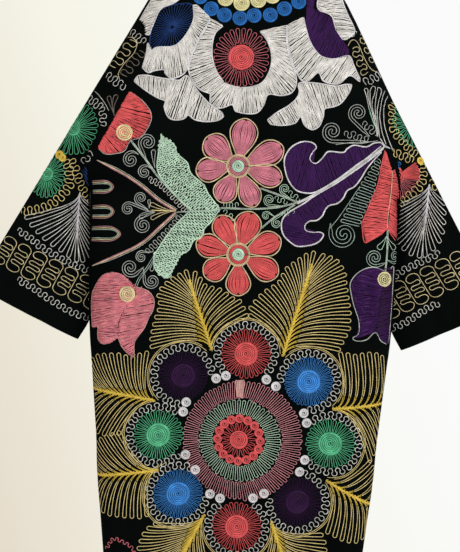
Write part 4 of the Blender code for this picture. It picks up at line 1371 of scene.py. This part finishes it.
def wood_material():
    """Plain waxed beech, its grain along the bar."""
    material = bpy.data.materials.new("beech")
    node, _, mix, feed = tree(material)
    stretch = node("Mapping", {"Vector": node("TexCoord", output="Object"), "Scale": (6, 60, 60)})
    grain = node("TexNoise", {"Vector": stretch, "Scale": 3.0, "Detail": 6.0})
    bump = node("Bump", {"Height": grain, "Strength": 0.2, "Distance": 0.0004})
    feed({"Base Color": mix(grain, *BEECH), "Normal": bump, "Roughness": 0.42})
    return material


def wire_material():
    """Bright steel wire with fine drawing marks."""
    material = bpy.data.materials.new("wire")
    node, _, _, feed = tree(material)
    marks = node("TexNoise", {"Vector": node("TexCoord", output="Object"), "Scale": 400.0})
    feed({"Roughness": spread(node, marks, 0.3, 0.7, 0.22, 0.38), "Base Color": STEEL, "Metallic": 1.0})
    return material


def add_mesh(name, points, faces, material, uvs=None):
    """A smooth mesh object. `uvs` has a row for each point."""
    mesh = bpy.data.meshes.new(name)
    faces = np.asarray(faces)
    mesh.vertices.add(len(points))
    mesh.vertices.foreach_set("co", np.asarray(points, float).ravel())
    mesh.loops.add(faces.size)
    mesh.loops.foreach_set("vertex_index", faces.ravel())
    mesh.polygons.add(len(faces))
    mesh.polygons.foreach_set("loop_start", np.arange(0, faces.size, faces.shape[1]))
    mesh.polygons.foreach_set("use_smooth", np.ones(len(faces), bool))
    if uvs is not None:
        layer = mesh.uv_layers.new(name="thread")
        layer.data.foreach_set("uv", np.asarray(uvs, float)[faces.ravel()].ravel())
    mesh.update(calc_edges=True)
    mesh.validate()
    mesh.materials.append(material)
    piece = bpy.data.objects.new(name, mesh)
    bpy.context.scene.collection.objects.link(piece)
    return piece


def strip_faces(rows, columns, closed, first=0, flip=False):
    """Four-sided faces over rows of points."""
    last = columns if closed else columns - 1
    i = np.arange(rows - 1)[:, None]
    j = np.arange(last)[None, :]
    k = (j + 1) % columns
    corners = [i * columns + j, i * columns + k, (i + 1) * columns + k, (i + 1) * columns + j]
    faces = np.stack([np.broadcast_to(c, (rows - 1, last)) for c in corners], axis=-1).reshape(-1, 4) + first
    return faces[:, ::-1] if flip else faces


SHARP_FROM = math.radians(60)


def cloth_piece(name, outer, outward, closed, material):
    """A thin closed wall of cloth, and the surface that the thread lies on."""
    rows, columns = outer.shape[:2]
    inner = outer - WALL * outward
    count = rows * columns
    row, column = rows // 2, columns // 4
    here = outer[row, column]
    facing = np.cross(outer[row + 1, column] - here, outer[row, column + 1] - here)
    flip = np.dot(facing, outward[row, column]) > 0
    faces = [strip_faces(rows, columns, closed, 0, flip), strip_faces(rows, columns, closed, count, not flip)]
    # The rim joins both faces along every open edge: pairs of neighbouring points, and which way they turn.
    edges = []
    for row, turned in ((0, flip), (rows - 1, not flip)):
        for j in range(columns if closed else columns - 1):
            edges.append((row * columns + j, row * columns + (j + 1) % columns, turned))
    if not closed:
        for column, turned in ((0, not flip), (columns - 1, flip)):
            for i in range(rows - 1):
                edges.append((i * columns + column, (i + 1) * columns + column, turned))
    rim = [(a, a + count, b + count, b)[:: 1 if turned else -1] for a, b, turned in edges]
    points = np.concatenate([outer.reshape(-1, 3), inner.reshape(-1, 3)])
    piece = add_mesh(name, points, np.concatenate(faces + [np.array(rim)]), material)
    piece.data.set_sharp_from_angle(angle=SHARP_FROM)
    return piece, BVHTree.FromPolygons(outer.reshape(-1, 3).tolist(), faces[0].tolist())


# How far off the middle plane a ray starts, how much the cloth has to face it, and where the cloth steps back
# so far that a line breaks
RAY_FROM = 0.3
FACES_RAY = 0.03
LARGEST_STEP = 0.02
# A line that crosses a seam reaches past the edge of the cloth: by one step along it, and its normal stays.
STEPS_PAST = np.array([[1.0], [0.0]])
# A thread's height over half its width, how much narrower its ends are, and how deep it sits in the cloth
THREAD_HEIGHT = 0.85
END_WIDTH = 0.45
SINK = 0.0002


def laid(line, surface, face, crosses):
    """A line of the cloth's plane laid on a surface, seen from the back (-1) or the front (1), in stretches.

    A line that crosses a seam reaches one step past the edge of the cloth."""
    ray = Vector((0, -face, 0))
    stretches = [[]]
    for x, z in line * MM:
        hit, normal, _, _ = surface.ray_cast(Vector((x, RAY_FROM * face, z)), ray)
        places = stretches[-1]
        found = hit is not None and normal.y * face > FACES_RAY
        if found and (not places or abs(hit.y - places[-1][0][1]) < LARGEST_STEP):
            places.append((tuple(hit), tuple(normal)))
        else:
            stretches.append([])
    parts = [np.array(part) for part in stretches if len(part) > 1]
    if crosses:
        for k, part in enumerate(parts):
            before = part[:1] + (part[:1] - part[1:2]) * STEPS_PAST
            after = part[-1:] + (part[-1:] - part[-2:-1]) * STEPS_PAST
            parts[k] = np.concatenate([before, part, after])
    return parts


def embroider(piece_name, works, surface, materials):
    """The thread of all lines on one piece of cloth, as one object for each colour."""
    made = {}
    sewn = [(face, work.crosses, *entry) for face, work in works for entry in work.lines]
    for face, crosses, colour, width, over, line in sewn:
        for part in laid(line, surface, face, crosses):
            points, out = part[:, 0], unit(part[:, 1])
            side = unit(np.cross(out, unit(np.gradient(points, axis=0))))
            half = np.full((len(points), 1), width * MM / 2)
            half[[0, -1]] *= END_WIDTH
            height = half * THREAD_HEIGHT
            points = points + out * over * MM
            sink = SINK + over * MM
            low = (points - side * half - out * sink, points + side * half - out * sink)
            rows = np.stack([low[0], points + out * height, low[1]], axis=1)
            steps = np.linalg.norm(np.diff(points, axis=0), axis=1)
            reach = np.concatenate([[0], np.cumsum(steps)]) / (STITCH_LENGTH * MM)
            across = np.tile([0, 0.5, 1], (len(points), 1))
            uv = np.stack([np.broadcast_to(reach[:, None], across.shape), across], -1)
            made.setdefault(colour, []).append((rows, uv))
    pieces = []
    for colour, parts in made.items():
        firsts = np.cumsum([0] + [len(rows) * 3 for rows, _ in parts])
        points = np.concatenate([rows.reshape(-1, 3) for rows, _ in parts])
        uvs = np.concatenate([uv.reshape(-1, 2) for _, uv in parts])
        faces = [strip_faces(len(rows), 3, False, first, True) for first, (rows, _) in zip(firsts, parts)]
        name = f"{piece_name}_thread_{colour}"
        pieces.append(add_mesh(name, points, np.concatenate(faces), materials[colour], uvs))
    return pieces


def place_in_scene(name, data, place):
    item = bpy.data.objects.new(name, data)
    item.location = place
    bpy.context.scene.collection.objects.link(item)
    return item


# Lamps: the name, the place, what each is aimed at, the size, the power and the colour
LAMPS = (
    ("key", (1.5, -2.3, 0.5), (0, 0, -0.7), 1.5, 60, (1.0, 0.99, 0.97)),
    ("fill", (-1.8, -1.8, -0.5), (0, 0, -0.8), 1.8, 12, (1.0, 0.97, 0.93)),
    ("front_fill", (0.6, 2.6, 0.3), (0, 0, -0.7), 1.6, 30, (1.0, 0.99, 0.98)),
)
FLOOR_HALF = 2.4
FLOOR_FRONT = -1.2
FLOOR_BACK = 0.92
FLOOR_Z = -1.56
# The surround's colours from below to above, darker and warmer at the lower left as painted shade and white
# at the upper right as painted light, and where between them the middle one lies
SURROUND = ((0.79, 0.72, 0.61, 1), (0.92, 0.91, 0.80, 1), (0.96, 0.96, 0.96, 1))
MIDDLE_AT = 0.41
SURROUND_SLANT = 0.35
SURROUND_SPAN = (-0.34, 0.22, 0.0, 1.0)


def room():
    """A pale floor, a soft pale surround painted a little darker and warmer at one side as painted shade, and
    soft lights.
    """
    material = bpy.data.materials.new("pale_floor")
    node, _, mix, feed = tree(material)
    grain = node("TexNoise", {"Vector": node("TexCoord", output="Object"), "Scale": 30.0})
    feed({"Base Color": mix(grain, *FLOOR), "Roughness": 0.9})
    corners = [(x, FLOOR_FRONT, FLOOR_Z) for x in (-FLOOR_HALF, FLOOR_HALF)]
    corners += [(x, FLOOR_BACK, FLOOR_Z) for x in (FLOOR_HALF, -FLOOR_HALF)]
    add_mesh("floor", corners, [(0, 1, 2, 3)], material)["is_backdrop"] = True
    world = bpy.data.worlds.new("surround")
    bpy.context.scene.world = world
    node, maths, _, feed = tree(world)
    way = node("TexCoord", output="Generated")
    sideways, up = (node("SeparateXYZ", {0: way}, axis) for axis in (0, 2))
    lean = maths("MULTIPLY_ADD", up, SURROUND_SLANT, sideways)
    tones = node("ValToRGB", {0: spread(node, lean, *SURROUND_SPAN)})
    ramp = tones.node.color_ramp
    ramp.elements[0].color = SURROUND[0]
    ramp.elements[1].color = SURROUND[2]
    ramp.elements.new(MIDDLE_AT).color = SURROUND[1]
    feed({0: tones, 1: 1.0})
    for name, place, target, size, power, colour in LAMPS:
        data = bpy.data.lights.new(name, "AREA")
        data.size = size
        data.energy = power
        data.color = colour
        lamp = place_in_scene(name, data, place)
        lamp.rotation_euler = (Vector(target) - lamp.location).to_track_quat("-Z", "Y").to_euler()


SENSOR = 36
CAMERA_PLACE = (-0.0228, -1.6, -0.6871)
CAMERA_TURN = (90, -2, 0)
# How much of the cloth's plane the photograph shows from top to bottom
FIELD = 1.0488


def camera():
    data = bpy.data.cameras.new("camera")
    data.sensor_fit = "VERTICAL"
    data.sensor_height = SENSOR
    data.lens = SENSOR * -CAMERA_PLACE[1] / FIELD
    item = place_in_scene("camera", data, CAMERA_PLACE)
    item.rotation_euler = [math.radians(turn) for turn in CAMERA_TURN]
    bpy.context.scene.camera = item


# The flat width and length of each cut piece, and its area, in metres and square metres
FLAT = {
    "back_panel": ((0.60, 1.26), 0.66),
    "front_left": ((0.30, 1.26), 0.31),
    "front_right": ((0.30, 1.26), 0.31),
    "sleeve_left": ((0.42, 0.60), 0.145),
    "sleeve_right": ((0.42, 0.60), 0.145),
}


def sewn(*motifs, crosses=False):
    """The work that motif functions sew, one after another."""
    work = Work(crosses)
    for motif in motifs:
        motif(work)
    return work


def main():
    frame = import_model()
    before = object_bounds()
    cloth = cloth_material()
    materials = {name: thread_material(f"silk_{name}", colour) for name, colour in COLOURS.items()}

    # The order in which the motifs are sewn settles their unevenness.
    seams = {-1: sewn(sew_left_seam, crosses=True), 1: sewn(sew_grey_palm, sew_shoulder_clip, crosses=True)}
    back = sewn(
        sew_shoulders, sew_neck, sew_middle, sew_tendrils, sew_left_tulip, sew_purple_leaf, sew_right_tulips,
        sew_medallion, sew_palms, sew_hem,
    )
    sleeves = {-1: sewn(sew_left_sleeve), 1: sewn(sew_right_sleeve)}
    right_front = sewn(sew_front)
    fronts = {-1: mirrored(right_front), 1: right_front}

    halves = [half_panel(-1, side) for side in (-1, 1)]
    whole = [np.concatenate([left[:, :0:-1], right], axis=1) for left, right in zip(*halves)]
    panels = [("back_panel", *whole, False, [(-1, back), (-1, seams[-1]), (-1, seams[1])])]
    for name, side in (("front_left", -1), ("front_right", 1)):
        panels.append((name, *half_panel(1, side), False, [(1, fronts[side]), (1, seams[side])]))
    for name, side in (("sleeve_left", -1), ("sleeve_right", 1)):
        works = [(face, work) for work in (sleeves[side], seams[side]) for face in (-1, 1)]
        panels.append((name, *sleeve_rings(side), True, works))
    for name, outer, outward, closed, works in panels:
        piece, surface = cloth_piece(f"{name}_cloth", settled(outer), outward, closed, cloth)
        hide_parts(name)
        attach(piece, "root")
        thread = embroider(name, works, surface, materials)
        for item in thread:
            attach(item, "root")
        flat, area = FLAT[name]
    for name, material in (("hanger_arms", wood_material()), ("hanger_hook", wire_material())):
        for slot in frame["nodes"][name].material_slots:
            slot.material = material
    room()
    camera()
    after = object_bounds()
    plain = [[[float(v) for v in corner] for corner in size] for size in (before, after)]


bpy.context.scene.view_settings.view_transform = "Standard"
main()
